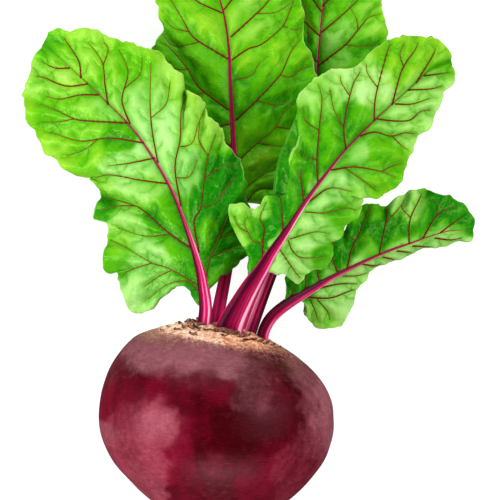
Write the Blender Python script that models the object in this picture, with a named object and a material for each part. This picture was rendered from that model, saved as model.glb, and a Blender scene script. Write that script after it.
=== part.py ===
"""A beetroot as picked, laid on a table: the swollen root with its taproot, and five leaves.

The plant lies on its side. X is across the leaves, +Y runs from the taproot to the leaves and
+Z is up. The origin is the middle of the small flat spot under the root that it rests on.

Plan positions are read off a picture that looks straight down on the plant: across and down in
its pixels, beside a height above the table in millimetres. Everything scales with BULB_WIDTH.
"""
import math
from dataclasses import dataclass, field

import bmesh
import bpy
import numpy as np
from mathutils import Matrix

MM = 0.001

# Driving dimensions
BULB_WIDTH = 0.090
BLADE_THICKNESS = 0.9 * MM
CLEARANCE = 0.4 * MM
REST_SPOT_DEPTH = 0.9 * MM
# The lowest that the middle of a blade lies, so that its underside is just off the table
BLADE_REST_HEIGHT = 0.55 * MM
WELD = 0.05 * MM

# Where the picture was read
BULB_WIDTH_PX = 233
REST_SPOT_PX = (216, 415)
PICTURE_CENTRE_PX = (244.5, 250)
PX = BULB_WIDTH / BULB_WIDTH_PX
EYE_HEIGHT = 3.0
WIDEST_HEIGHT = BULB_WIDTH / 2

# The root from the crown down to the neck: millimetres along its axis, aside of it, and radius
CROWN_TILT = math.radians(7)
CROWN_SLOPE = 0.14
CROWN_SLOPE_FADE = (-5 * MM, 25 * MM)
OVAL = 0.010
THREE_SIDED = 0.008
BULB_PROFILE = (
    (35.3, 0, 0.1), (34.6, 0, 7), (32.8, 0.2, 15), (31, 0.4, 21.5), (28.6, 0.7, 27.8),
    (25, 0.9, 33.4), (20, 0.9, 38), (14, 0.6, 41.9), (7, 0.3, 44.4), (0, 0, 45.2), (-6, 0.2, 44.9),
    (-12, 0.5, 43.2), (-18, 0.8, 40.3), (-24, 1.1, 35.7), (-30, 1.3, 29.8), (-36, 1.4, 22.8),
    (-42, 1.5, 15.6), (-47, 1.6, 10.6),
)
# The taproot's bends below the neck: x, y, z and radius, in millimetres
TAPROOT = (
    (1.8, -53, 37, 7.2), (2.5, -62, 33, 5), (4, -74, 26, 3.6), (6.5, -87, 17.5, 2.7),
    (9.5, -99, 10, 2), (13, -110, 5, 1.5), (17, -121, 2.2, 1.1), (20, -131, 1, 0.6),
)
ROOT_SIDES = 36
ROOT_SPANS = 2
# How many rows of the profile, from the top, make the crown
CROWN_ROWS = 8

# The rootlets: how far the first one reaches, how much shorter the last one is, how much of
# the way down to the floor height they fall, and how they run back and bend
ROOTLETS = 8
TAPROOT_SPANS = 4
BARE_TIP_ROWS = 6
ROOTLET_BACK = 0.35
ROOTLET_BEND = 0.25
ROOTLET_REACH = 20 * MM
ROOTLET_SHORTENING = 0.45
ROOTLET_FALL = 0.75
ROOTLET_FLOOR = 0.9 * MM
ROOTLET_RADIUS = 0.75 * MM
ROOTLET_TAPER = 0.55
ROOTLET_RINGS = 6
ROOTLET_SIDES = 5

# Rings of dried leaf bases: distance from the crown's axis in millimetres, and how many
STUB_RINGS = ((9, 5), (15.5, 8), (22, 11))
STUB_HALF_WIDTH = 3.4 * MM
STUB_HEIGHT = 3.6 * MM
STUB_FLATNESS = 0.35
STUB_SIDES = 6
STUB_LEAN = 0.25
STUB_SPREAD = 0.03
STUB_STAGGER = 0.37
# How far up a dried leaf base each of its rings is, and how broad, as shares
STUB_SHAPE = ((-0.6, 1), (0.3, 1.05), (0.8, 0.8), (1, 0.3))

# The leaves
STALK_SIDES = 8
STALK_RINGS = 24
STALK_SPANS = 8
STALK_FLATNESS = 0.72
CHANNEL_DEPTH = 0.45
BLADE_COLUMNS = 7
JOIN_STATION = 0.93
ARCH = 0.11
SWEEP = 0.10
QUILT = 0.045
PLEAT_COLUMNS = 4
PLEAT_TUCK = 5 * MM


@dataclass
class Margin:
    """One side's edge of a blade, from the stalk to the tip.

    Each point is the station of its row on the midrib, across, down and height. A vein runs to
    each point listed in veins. At a pleat the blade tucks under there and comes out again to
    another point.
    """
    start: float
    points: list
    veins: tuple
    pleats: dict = field(default_factory=dict)


@dataclass
class Leaf:
    """A stalk as across, down, height and half width, and the two margins of its blade."""
    name: str
    stalk: list
    blade_from: int
    tip: tuple
    left: Margin
    right: Margin


LEFT_LEAF = Leaf(
    name="left_leaf",
    stalk=[
        (204, 338, 49, 2.7), (204, 326, 49.5, 2.7), (205.5, 308, 48.5, 2.5), (203, 285, 46, 2.2),
        (197, 258, 42, 1.8), (187, 228, 37.5, 1.5), (173, 192, 32.5, 1.2), (155, 160, 28, 1),
        (134, 130, 24, 0.8), (110, 105, 20, 0.65), (82, 78, 14.5, 0.5), (60, 58, 9.5, 0.4),
    ],
    blade_from=2,
    tip=(44, 43, 5),
    left=Margin(
        start=0,
        points=[
            (0.02, 197, 303, 46), (0.035, 191, 291, 44), (0.055, 184, 283.5, 41),
            (0.09, 176, 284.5, 38), (0.13, 166, 291, 34), (0.17, 156, 302, 31),
            (0.20, 148, 311.5, 29), (0.205, 133, 311.5, 25), (0.21, 122.5, 292, 26),
            (0.213, 117, 273, 20), (0.216, 106.5, 268, 18), (0.22, 106, 253, 21),
            (0.225, 108, 238, 15), (0.23, 109, 225, 17), (0.235, 94, 217, 10),
            (0.245, 98, 205, 14), (0.27, 100, 190, 10), (0.32, 90, 179, 14),
            (0.405, 77, 173, 8), (0.46, 61, 165, 11), (0.51, 48.5, 153.5, 6),
            (0.565, 39.5, 138.5, 8),
            (0.61, 31, 127, 3.5), (0.65, 25, 110, 6), (0.71, 24, 96, 2),
            (0.77, 29, 80, 5), (0.82, 32, 66, 1.5), (0.88, 38, 53, 5), (0.93, 42, 47, 4),
        ],
        veins=(6, 12, 15, 17, 19, 21, 23, 25, 27),
    ),
    right=Margin(
        start=0.05,
        points=[
            (0.065, 212, 283.5, 45), (0.085, 221, 276, 43.5), (0.105, 231, 269, 41),
            (0.12, 241, 259, 38.5), (0.13, 252, 247.5, 38),
            (0.14, 255, 232, 33), (0.145, 252, 214, 35), (0.15, 243, 197, 36),
            (0.158, 246, 178, 39), (0.166, 240, 161, 35), (0.175, 229, 148, 37),
            (0.185, 222, 130, 31), (0.22, 210, 118, 35), (0.26, 205, 103, 30),
            (0.30, 193, 94, 33), (0.335, 183, 86, 27), (0.38, 179, 72, 30),
            (0.44, 165, 58, 25), (0.50, 150.5, 50, 26), (0.57, 133, 44, 21),
            (0.635, 116, 39.5, 19.5), (0.69, 101, 32.5, 16.5), (0.73, 86, 28.5, 15.5),
            (0.79, 72, 30, 12.5), (0.85, 60, 29, 9.5), (0.90, 51, 33, 7.5),
            (0.93, 47, 37, 6),
        ],
        veins=(4, 6, 8, 11, 14, 18, 20, 22, 24),
    ),
)

CENTRE_LEAF = Leaf(
    name="centre_leaf",
    stalk=[
        (213.5, 339, 40.5, 2.4), (215.5, 327, 41, 2.5), (219.5, 305, 38, 2.5),
        (226, 272, 33, 2.3), (231, 240, 29, 2.1), (235, 208, 26, 2), (236, 180, 24.5, 1.9),
        (234, 150, 23, 1.7), (232, 115, 21.5, 1.4), (230.5, 85, 20.5, 1.2),
        (229, 50, 18.5, 1), (225, 20, 16, 0.85), (220, 0, 14, 0.75), (213, -25, 11, 0.6),
        (206, -48, 8, 0.45),
    ],
    blade_from=5,
    tip=(200, -80, 3),
    left=Margin(
        start=0,
        points=[
            (0.01, 212, 213, 22), (0.03, 196, 203, 23), (0.06, 183, 189, 17),
            (0.10, 172, 170, 19), (0.15, 163, 148, 14), (0.20, 157, 124, 15.5),
            (0.25, 152, 100, 12), (0.28, 150, 78, 14), (0.31, 151, 60, 10.5),
            (0.34, 155, 42, 12), (0.38, 164, 29, 9), (0.42, 160, 16, 10.5),
            (0.47, 157, 1, 7), (0.52, 157, -14, 8.5), (0.59, 160, -30, 5),
            (0.67, 166, -46, 6), (0.76, 175, -60, 3), (0.83, 184, -70, 3.5),
            (0.89, 190, -77, 2), (0.93, 194, -79.5, 2),
        ],
        veins=(1, 3, 5, 7, 9, 12, 14, 16, 18),
    ),
    right=Margin(
        start=0.015,
        points=[
            (0.025, 249, 202, 23), (0.03, 264, 201.5, 22), (0.035, 279, 198, 24),
            (0.045, 292, 184, 20),
            (0.06, 300, 165, 22), (0.09, 307, 145, 18.5), (0.12, 313, 122, 21),
            (0.145, 317, 100, 18), (0.17, 317, 79, 20.5), (0.22, 312, 59, 17.5),
            (0.27, 305, 43, 20), (0.315, 303, 26, 16), (0.38, 303, 9, 18),
            (0.445, 300, -6, 13), (0.51, 294, -22, 14), (0.55, 286, -37, 9.5),
            (0.59, 274, -49, 10.5), (0.66, 259, -60, 6), (0.74, 243, -69, 6),
            (0.82, 227, -76, 3), (0.88, 214, -80, 3.5), (0.93, 207, -81.5, 2.5),
        ],
        veins=(2, 4, 6, 8, 10, 12, 14, 16, 18, 20),
    ),
)

BACK_LEAF = Leaf(
    name="back_leaf",
    stalk=[
        (247, 346, 39, 2.6), (249, 334, 39.5, 2.7), (256, 313, 36.5, 2.6), (265, 290, 32, 2.3),
        (276, 262, 27, 2), (288, 228, 21.5, 1.7), (299, 190, 16.5, 1.4), (308, 148, 12.5, 1.2),
        (314, 105, 10, 1), (317.5, 68, 9.5, 0.85), (320, 35, 10, 0.75), (323, 5, 9, 0.65),
        (326, -20, 7, 0.5), (329, -42, 5, 0.4),
    ],
    blade_from=7,
    tip=(333, -74, 1.5),
    left=Margin(
        start=0,
        points=[
            (0.04, 286, 143, 8), (0.09, 276, 126, 8), (0.15, 269, 106, 4.5),
            (0.21, 265, 84, 6), (0.28, 263, 62, 2.5), (0.35, 264, 40, 4.5),
            (0.42, 268, 19, 1.5), (0.49, 274, 0, 3.5), (0.56, 281, -17, 1),
            (0.64, 290, -33, 2.5), (0.72, 301, -47, 0.8), (0.80, 312, -59, 1.5),
            (0.87, 322, -68, 0.8), (0.93, 328, -73, 1),
        ],
        veins=(0, 2, 4, 6, 8, 10, 12),
    ),
    right=Margin(
        start=0,
        points=[
            (0.03, 334, 146, 10), (0.07, 349, 133, 12), (0.12, 362, 115, 9),
            (0.17, 372, 95, 12), (0.23, 380, 74, 9), (0.29, 385, 54, 12.5),
            (0.34, 387, 36, 9), (0.375, 384, 18, 11.5), (0.43, 382, 4, 7.5),
            (0.48, 378, -10, 10), (0.53, 373, -24, 5.5), (0.60, 365, -37, 7),
            (0.68, 358, -50, 3), (0.77, 349, -61, 3.5), (0.86, 342, -69, 1),
            (0.93, 337, -73, 1.5),
        ],
        veins=(1, 3, 5, 7, 9, 11, 13),
    ),
)

RIGHT_LEAF = Leaf(
    name="right_leaf",
    stalk=[
        (229, 341, 51, 5), (230, 327, 52.5, 5.2), (243, 300, 55.5, 4), (253, 283, 57.5, 3.4),
        (264, 266, 59, 2.6), (273, 251, 59.5, 2.2), (287, 230, 59, 1.8), (306, 201, 57, 1.4),
        (329, 170, 53, 1.15), (347, 148, 49.5, 0.9), (377, 118, 43, 0.7), (410, 88, 35, 0.5),
        (431, 69, 29, 0.4),
    ],
    blade_from=3,
    tip=(451, 61, 23),
    left=Margin(
        start=0,
        points=[
            (0.03, 250.5, 261, 57), (0.05, 252, 248, 56.5), (0.06, 242.5, 237, 54),
            (0.065, 233, 226, 51), (0.07, 229, 214, 51.5), (0.075, 230, 205, 49.5),
            (0.08, 240, 203, 52), (0.085, 249, 209, 50), (0.09, 259, 208, 52),
            (0.10, 266, 197, 51), (0.14, 284, 197, 54), (0.18, 299, 186, 57),
            (0.21, 291, 160, 57), (0.25, 297, 146, 55), (0.29, 303, 127, 52),
            (0.325, 298, 108, 48), (0.35, 299, 95, 47), (0.37, 308, 86, 44),
            (0.385, 319, 76, 46), (0.40, 331, 71, 42), (0.47, 347, 70, 43.5),
            (0.545, 361, 63, 39), (0.61, 371, 52, 40), (0.68, 384, 42, 36),
            (0.72, 397, 37.5, 37), (0.76, 410, 35.5, 32.5), (0.81, 424, 37, 33),
            (0.86, 438, 40.5, 28.5), (0.91, 448, 50, 26.5), (0.93, 450, 56, 25),
        ],
        veins=(3, 9, 10, 14, 17, 21, 23, 25, 27),
        pleats={11: (274, 194, 50), 12: (277, 166, 49), 13: (284, 145, 47), 14: (293, 125, 46)},
    ),
    right=Margin(
        start=0.05,
        points=[
            (0.07, 280, 268, 57), (0.09, 287, 278, 54), (0.11, 299, 283, 50),
            (0.13, 309, 272, 52), (0.15, 321, 269, 47.5), (0.17, 331, 257, 50),
            (0.19, 330, 244, 47), (0.21, 341, 234, 50), (0.24, 348, 222, 46),
            (0.27, 357, 216, 48.5), (0.30, 362, 202, 45), (0.325, 356, 190, 47),
            (0.34, 366, 193, 44), (0.37, 379, 197.5, 46.5), (0.41, 393, 189, 41),
            (0.45, 403.5, 177, 43.5), (0.50, 406, 161.5, 39), (0.555, 413, 149, 41),
            (0.61, 419, 134, 36), (0.65, 431, 125, 37.5), (0.69, 436.5, 112, 32),
            (0.75, 442.5, 100, 33), (0.80, 446.5, 90, 28), (0.84, 452.5, 81.5, 28.5),
            (0.89, 454, 71, 25), (0.93, 453, 66, 24.5),
        ],
        veins=(2, 4, 7, 9, 11, 14, 18, 20, 22, 24),
    ),
)

LOW_LEAF = Leaf(
    name="low_leaf",
    stalk=[
        (262, 344, 45.5, 2.3), (263.5, 332, 46, 2.3), (271, 318, 46, 2.3), (285, 305.5, 45, 2.2),
        (305, 293, 42.5, 1.95), (325, 281, 40, 1.65), (347, 269.5, 37, 1.3), (370, 258.5, 33.5, 1),
        (390, 250, 30, 0.85), (410, 243, 26.5, 0.7), (430, 236, 22.5, 0.55),
        (450, 230.5, 18.5, 0.45),
    ],
    blade_from=3,
    tip=(473, 230, 12.5),
    left=Margin(
        start=0,
        points=[
            (0.02, 284.5, 290, 44.5), (0.04, 286.5, 277, 41), (0.07, 295.5, 264, 42),
            (0.11, 305, 251, 38), (0.17, 316, 242, 40), (0.24, 326, 235, 36),
            (0.31, 336, 233, 38), (0.325, 346, 229, 34), (0.335, 354, 216, 35.5),
            (0.35, 362, 206, 31), (0.41, 375, 203, 32.5), (0.47, 385, 206, 28),
            (0.52, 396, 199, 29), (0.58, 405, 194, 25), (0.63, 414, 190, 26),
            (0.67, 424, 190, 21.5), (0.71, 434.5, 194, 22), (0.75, 448, 196, 18),
            (0.81, 459.5, 202, 17.5), (0.87, 468, 211, 14), (0.93, 473.5, 221.5, 13),
        ],
        veins=(1, 2, 5, 9, 11, 13, 16, 18),
    ),
    right=Margin(
        start=0.07,
        points=[
            (0.085, 306, 305, 40), (0.10, 306, 315, 35), (0.11, 313, 324, 27),
            (0.125, 326, 328, 23), (0.14, 339, 325, 17), (0.155, 346, 314, 20),
            (0.17, 353, 303, 15.5), (0.20, 357, 289, 18), (0.26, 366, 280, 13),
            (0.31, 370, 271, 14), (0.36, 378, 266, 9), (0.44, 388, 262, 9.5),
            (0.52, 398, 259, 5), (0.60, 411, 254, 5), (0.66, 422, 248, 1.5),
            (0.72, 434, 247, 2.5), (0.79, 447, 245, 1), (0.84, 457, 241, 3),
            (0.89, 467, 241, 5.5), (0.93, 473, 236, 9),
        ],
        veins=(2, 5, 8, 11, 13, 15, 17),
    ),
)

LEAVES = (LEFT_LEAF, CENTRE_LEAF, BACK_LEAF, RIGHT_LEAF, LOW_LEAF)


def empty_scene():
    """Removes what a new file holds."""
    for thing in list(bpy.data.objects):
        bpy.data.objects.remove(thing, do_unlink=True)


def plan(across, down, height):
    """The point seen at a pixel of the picture, at a height in millimetres above the table."""
    z = height * MM
    spread = PX * (EYE_HEIGHT - z) / (EYE_HEIGHT - WIDEST_HEIGHT)
    eye_x = (PICTURE_CENTRE_PX[0] - REST_SPOT_PX[0]) * PX
    eye_y = (REST_SPOT_PX[1] - PICTURE_CENTRE_PX[1]) * PX
    x = eye_x + (across - PICTURE_CENTRE_PX[0]) * spread
    y = eye_y + (PICTURE_CENTRE_PX[1] - down) * spread
    return np.array((x, y, z))


def smooth(points, spans):
    """A Catmull-Rom curve through rows of numbers, with this many steps to each span."""
    rows = np.array(points, dtype=float)
    rows = np.vstack((2 * rows[0] - rows[1], rows, 2 * rows[-1] - rows[-2]))
    curve = []
    for before, start, end, after in zip(rows, rows[1:], rows[2:], rows[3:]):
        for step in range(spans):
            t = step / spans
            curve.append(0.5 * (2 * start + (end - before) * t
                                + (2 * before - 5 * start + 4 * end - after) * t ** 2
                                + (3 * start - before - 3 * end + after) * t ** 3))
    curve.append(rows[-2])
    return np.array(curve)


def unit(vector):
    return vector / np.linalg.norm(vector)


def material(name, colour, roughness):
    """A plain Principled material."""
    made = bpy.data.materials.new(name)
    made.use_nodes = True
    shader = made.node_tree.nodes["Principled BSDF"]
    shader.inputs["Base Color"].default_value = (*colour, 1)
    shader.inputs["Roughness"].default_value = roughness
    shader.inputs["Metallic"].default_value = 0
    return made


def add_object(name, mesh, look=None, collection=None):
    thing = bpy.data.objects.new(name, mesh)
    (collection or bpy.context.scene.collection).objects.link(thing)
    if look:
        mesh.materials.append(look)
    mesh.shade_smooth()
    return thing


def tube_mesh(name, rings):
    """A closed skin over rings that all have the same number of points, with flat ends."""
    shape = bmesh.new()
    loops = [[shape.verts.new(point) for point in ring] for ring in rings]
    sides = len(loops[0])
    for low, high in zip(loops, loops[1:]):
        for side in range(sides):
            after = (side + 1) % sides
            shape.faces.new((low[side], low[after], high[after], high[side]))
    shape.faces.new(reversed(loops[0]))
    shape.faces.new(loops[-1])
    bmesh.ops.recalc_face_normals(shape, faces=shape.faces)
    mesh = bpy.data.meshes.new(name)
    shape.to_mesh(mesh)
    shape.free()
    return mesh


def applied(thing):
    """Replaces an object's mesh by what its modifiers make of it."""
    evaluated = thing.evaluated_get(bpy.context.evaluated_depsgraph_get())
    mesh = bpy.data.meshes.new_from_object(evaluated)
    thing.modifiers.clear()
    thing.data = mesh
    return thing


class Midrib:
    """The line of a stalk and its midrib. Stations run from 0 at the blade's foot to 1 at the
    tip and are negative down the stalk."""

    def __init__(self, leaf):
        route = [(*plan(*point[:3]), point[3] * MM) for point in leaf.stalk]
        route.append((*plan(*leaf.tip), 0))
        curve = smooth(route, STALK_SPANS)
        self.points = curve[:, :3]
        self.widths = curve[:, 3]
        steps = np.linalg.norm(np.diff(self.points, axis=0), axis=1)
        length = np.concatenate(((0,), np.cumsum(steps)))
        foot = length[leaf.blade_from * STALK_SPANS]
        self.stations = (length - foot) / (length[-1] - foot)
        ends = [margin.points[-2][0] for margin in (leaf.left, leaf.right)]
        self.flesh_end = min(ends) - 0.01

    def point(self, station):
        return np.array([np.interp(station, self.stations, self.points[:, axis])
                         for axis in range(3)])

    def along(self, station):
        return unit(self.point(station + 0.02) - self.point(station - 0.02))

    def half_width(self, station):
        return np.interp(station, self.stations, self.widths)

    def edge(self, station, side):
        """Where the blade starts beside the flesh, or on the midrib's line past its end."""
        if station >= JOIN_STATION:
            return self.point(station)
        across = unit(np.cross(self.along(station), (0, 0, 1)))
        return self.point(station) + across * side * (self.half_width(station) + CLEARANCE)


def stalk_rings(rib):
    """Crescent sections with a channel along their upper side."""
    turns = np.arange(STALK_SIDES) * 2 * math.pi / STALK_SIDES
    dip = 1 - CHANNEL_DEPTH * np.clip(np.sin(turns), 0, 1) ** 6
    rings = []
    for station in np.linspace(rib.stations[0], rib.flesh_end, STALK_RINGS):
        along = rib.along(station)
        across = unit(np.cross(along, (0, 0, 1)))
        up = np.cross(across, along)
        half = rib.half_width(station)
        rings.append([rib.point(station) + half * (across * math.cos(turn)
                      + up * math.sin(turn) * STALK_FLATNESS * sink)
                      for turn, sink in zip(turns, dip)])
    return rings


def blade_row(rib, margin, side, index):
    """One row of the blade, from the midrib out to the margin and through its pleat."""
    station, *reading = margin.points[index]
    inner = rib.edge(station, side)
    outer = plan(*reading)
    length = np.linalg.norm(outer - inner)
    quilt = 0 if index in margin.veins else QUILT * length
    middle = (inner + outer) / 2 - rib.along(station) * SWEEP * length
    middle = middle + np.array((0, 0, ARCH * length + quilt))
    row = [bezier(inner, middle, outer, v) for v in np.linspace(0, 1, BLADE_COLUMNS + 1)]
    if margin.pleats:
        row += pleat(outer, inner, margin.pleats.get(index))
    return row


def pleat(outer, inner, reading):
    """The tuck under the margin and out again, or the bare margin where nothing tucks."""
    if reading is None:
        return [outer] * PLEAT_COLUMNS
    end = plan(*reading)
    back = unit(inner - outer) * PLEAT_TUCK
    turn = np.array((outer[0], outer[1], end[2])) + back
    return [bezier(outer, turn, end, v) for v in np.linspace(0, 1, PLEAT_COLUMNS + 1)[1:]]


def bezier(start, middle, end, v):
    return start * (1 - v) ** 2 + middle * 2 * v * (1 - v) + end * v ** 2


def blade_half(shape, rib, margin, side, tip):
    """Adds one half of a blade as rows of triangles."""
    count = BLADE_COLUMNS + 1 + (PLEAT_COLUMNS if margin.pleats else 0)
    rows = [[rib.edge(margin.start, side)] * count]
    rows += [blade_row(rib, margin, side, index) for index in range(len(margin.points))]
    rows.append([plan(*tip)] * count)
    grid = [[shape.verts.new(np.maximum(point, (-1, -1, BLADE_REST_HEIGHT))) for point in row]
            for row in rows]
    for low, high in zip(grid, grid[1:]):
        for column in range(count - 1):
            corners = [low[column], low[column + 1], high[column + 1], high[column]]
            if side < 0:
                corners.reverse()
            shape.faces.new((corners[0], corners[1], corners[2]))
            shape.faces.new((corners[0], corners[2], corners[3]))


def make_blade(leaf, rib, look):
    """A thin waved sheet with a slit that the midrib lies in, closed past the midrib's end."""
    shape = bmesh.new()
    blade_half(shape, rib, leaf.left, -1, leaf.tip)
    blade_half(shape, rib, leaf.right, 1, leaf.tip)
    bmesh.ops.remove_doubles(shape, verts=shape.verts, dist=WELD)
    mesh = bpy.data.meshes.new(leaf.name + "_blade")
    shape.to_mesh(mesh)
    shape.free()
    blade = add_object(leaf.name + "_blade", mesh, look)
    sheet = blade.modifiers.new("thickness", "SOLIDIFY")
    sheet.thickness = BLADE_THICKNESS
    sheet.offset = 0
    return blade


def make_stalk(leaf, rib, look, crown_space):
    """The stalk with its midrib, cut off just clear of the crown that it grew from."""
    stalk = add_object(leaf.name + "_stalk", tube_mesh(leaf.name + "_stalk", stalk_rings(rib)), look)
    cut = stalk.modifiers.new("foot", "BOOLEAN")
    cut.operation = "DIFFERENCE"
    cut.solver = "EXACT"
    cut.object = crown_space
    return stalk


def bulb_spine():
    """The root's centre line from the crown to the taproot's tip, with its radius and how far
    its rings are moved aside."""
    centre_z = BULB_WIDTH / 2 - REST_SPOT_DEPTH
    spine = []
    for along, aside, radius in BULB_PROFILE:
        y = along * MM * math.cos(CROWN_TILT)
        z = centre_z + along * MM * math.sin(CROWN_TILT)
        spine.append((0, y, z, radius * MM, aside * MM))
    spine += [(*(value * MM for value in bend), 0) for bend in TAPROOT]
    return np.array(spine)


def root_ring(centre, along, radius, slope):
    """One ring of the root, slightly out of round, with the crown's slope to the right."""
    across = unit(np.cross(along, (0, 0, 1)))
    up = np.cross(across, along)
    ring = []
    for turn in np.arange(ROOT_SIDES) * 2 * math.pi / ROOT_SIDES:
        reach = radius * (1 + OVAL * math.sin(2 * turn) + THREE_SIDED * math.sin(3 * turn))
        point = centre + reach * (across * math.cos(turn) + up * math.sin(turn))
        ring.append(point - along * slope * (point[0] - centre[0]))
    return ring


def root_rings():
    """The rings of the bulb and taproot, from the crown to the taproot's tip. The crown's slope
    fades out over the bulb's upper half."""
    spine = smooth(bulb_spine(), ROOT_SPANS)
    flow = np.gradient(spine[:, :3], axis=0)
    rings = []
    for row, step in zip(spine, flow):
        slope = np.interp(row[1], CROWN_SLOPE_FADE, (0, CROWN_SLOPE))
        centre = row[:3] + (row[4], 0, 0)
        rings.append(root_ring(centre, -unit(step), row[3], slope))
    return rings


def crown_point(ring_radius, turn):
    """A point on the crown at a distance in millimetres from its axis, and the ways that a dried
    leaf base there stands and spreads."""
    heights, asides, radii = np.array(BULB_PROFILE[:CROWN_ROWS]).T
    along = np.interp(ring_radius, radii, heights)
    aside = np.interp(ring_radius, radii, asides)
    axis = np.array((0, math.cos(CROWN_TILT), math.sin(CROWN_TILT)))
    across = np.array((1, 0, 0))
    up = np.cross(across, axis)
    out = across * math.cos(turn) + up * math.sin(turn)
    centre = np.array((0, 0, BULB_WIDTH / 2 - REST_SPOT_DEPTH))
    point = centre + MM * (axis * (along - CROWN_SLOPE * ring_radius * math.cos(turn))
                           + across * aside + out * ring_radius)
    return point, unit(axis + STUB_SPREAD * ring_radius * out), np.cross(axis, out)


def stub_rings(point, facing, spread, width, height):
    """A dried leaf base: a flat ragged scale with its root sunk in the crown."""
    thick = np.cross(spread, facing) * STUB_FLATNESS
    rings = []
    for rise, scale in STUB_SHAPE:
        centre = point + facing * rise * height + spread * STUB_LEAN * width * rise
        rings.append([centre + scale * width * (spread * math.cos(turn) + thick * math.sin(turn))
                      for turn in np.arange(STUB_SIDES) * 2 * math.pi / STUB_SIDES])
    return rings


def stub_places():
    """Dried leaf bases in rings round the crown, clear of the fresh stalks."""
    places = []
    for ring, (radius, count) in enumerate(STUB_RINGS):
        for number in range(count):
            turn = 2 * math.pi * (number + STUB_STAGGER * ring) / count
            point, facing, spread = crown_point(radius, turn)
            if all(clear_of(point, leaf) for leaf in LEAVES):
                places.append((point, facing, spread, ring, number))
    return places


def clear_of(point, leaf):
    """Whether a dried leaf base at this point misses a leaf's stalk where it leaves the crown."""
    foot = plan(*leaf.stalk[1][:3])
    apart = math.hypot(point[0] - foot[0], point[2] - foot[2])
    return apart > leaf.stalk[1][3] * MM + STUB_HALF_WIDTH


def rootlet_rings(number):
    """A hair-thin root that springs from the taproot and trails to one side."""
    share = (number + 0.5) / ROOTLETS
    spine = smooth(TAPROOT, TAPROOT_SPANS) * MM
    start = spine[int(share * (len(spine) - BARE_TIP_ROWS))]
    side = 1 if number % 2 else -1
    reach = ROOTLET_REACH * (1 - ROOTLET_SHORTENING * share)
    fall = (start[2] - ROOTLET_FLOOR) * ROOTLET_FALL
    rings = []
    for t in np.linspace(0, 1, ROOTLET_RINGS):
        centre = start[:3] + np.array((
            side * reach * t,
            -reach * (ROOTLET_BACK * t + ROOTLET_BEND * t ** 2 * math.sin(number)),
            -fall * t ** 1.6,
        ))
        radius = ROOTLET_RADIUS * (1 - ROOTLET_TAPER * t)
        rings.append([centre + radius * np.array((0, math.cos(turn), math.sin(turn)))
                      for turn in np.arange(ROOTLET_SIDES) * 2 * math.pi / ROOTLET_SIDES])
    return rings


def make_root(look):
    """The root with its growths joined on, cut flat where it rests on the table."""
    root = add_object("beet_root", tube_mesh("beet_root", root_rings()), look)
    growths = bpy.data.collections.new("growths")
    for number, (point, facing, spread, ring, place) in enumerate(stub_places()):
        width = STUB_HALF_WIDTH * (1 + 0.15 * math.sin(3 * place) - 0.1 * ring)
        height = STUB_HEIGHT * (1 + 0.35 * math.sin(5 * place + ring) - 0.15 * ring)
        mesh = tube_mesh(f"stub_{number}", stub_rings(point, facing, spread, width, height))
        add_object(f"stub_{number}", mesh, collection=growths)
    for number in range(ROOTLETS):
        mesh = tube_mesh(f"rootlet_{number}", rootlet_rings(number))
        add_object(f"rootlet_{number}", mesh, collection=growths)
    join = root.modifiers.new("growths", "BOOLEAN")
    join.operand_type = "COLLECTION"
    join.operation = "UNION"
    join.solver = "EXACT"
    join.collection = growths
    bpy.context.scene.collection.children.link(growths)
    applied(root)
    for thing in list(growths.objects):
        bpy.data.objects.remove(thing, do_unlink=True)
    bpy.data.collections.remove(growths)
    cut_rest_spot(root)
    return root


def cut_rest_spot(root):
    """Cuts off what would lie below the table."""
    table = bmesh.new()
    bmesh.ops.create_cube(table, size=1, matrix=Matrix.Translation((0, 0, -0.5)))
    mesh = bpy.data.meshes.new("table_space")
    table.to_mesh(mesh)
    table.free()
    space = add_object("table_space", mesh)
    space.hide_render = True
    space.display_type = "WIRE"
    cut = root.modifiers.new("rest_spot", "BOOLEAN")
    cut.operation = "DIFFERENCE"
    cut.solver = "EXACT"
    cut.object = space


def make_crown_space(root):
    """A copy of the root a clearance larger, that the stalks are cut off at."""
    shape = bmesh.new()
    shape.from_mesh(root.data)
    shape.normal_update()
    for vertex in shape.verts:
        vertex.co += vertex.normal * CLEARANCE
    mesh = bpy.data.meshes.new("crown_space")
    shape.to_mesh(mesh)
    shape.free()
    space = add_object("crown_space", mesh)
    space.hide_render = True
    space.display_type = "WIRE"
    return space


def main():
    empty_scene()
    root_look = material("beet_skin", (0.12, 0.008, 0.03), 0.35)
    stalk_look = material("crimson_stalk", (0.30, 0.01, 0.06), 0.35)
    blade_look = material("leaf_green", (0.16, 0.42, 0.03), 0.4)
    root = make_root(root_look)
    crown_space = make_crown_space(root)
    for leaf in LEAVES:
        rib = Midrib(leaf)
        make_stalk(leaf, rib, stalk_look, crown_space)
        make_blade(leaf, rib, blade_look)


main()
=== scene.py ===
import itertools
import math

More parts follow.
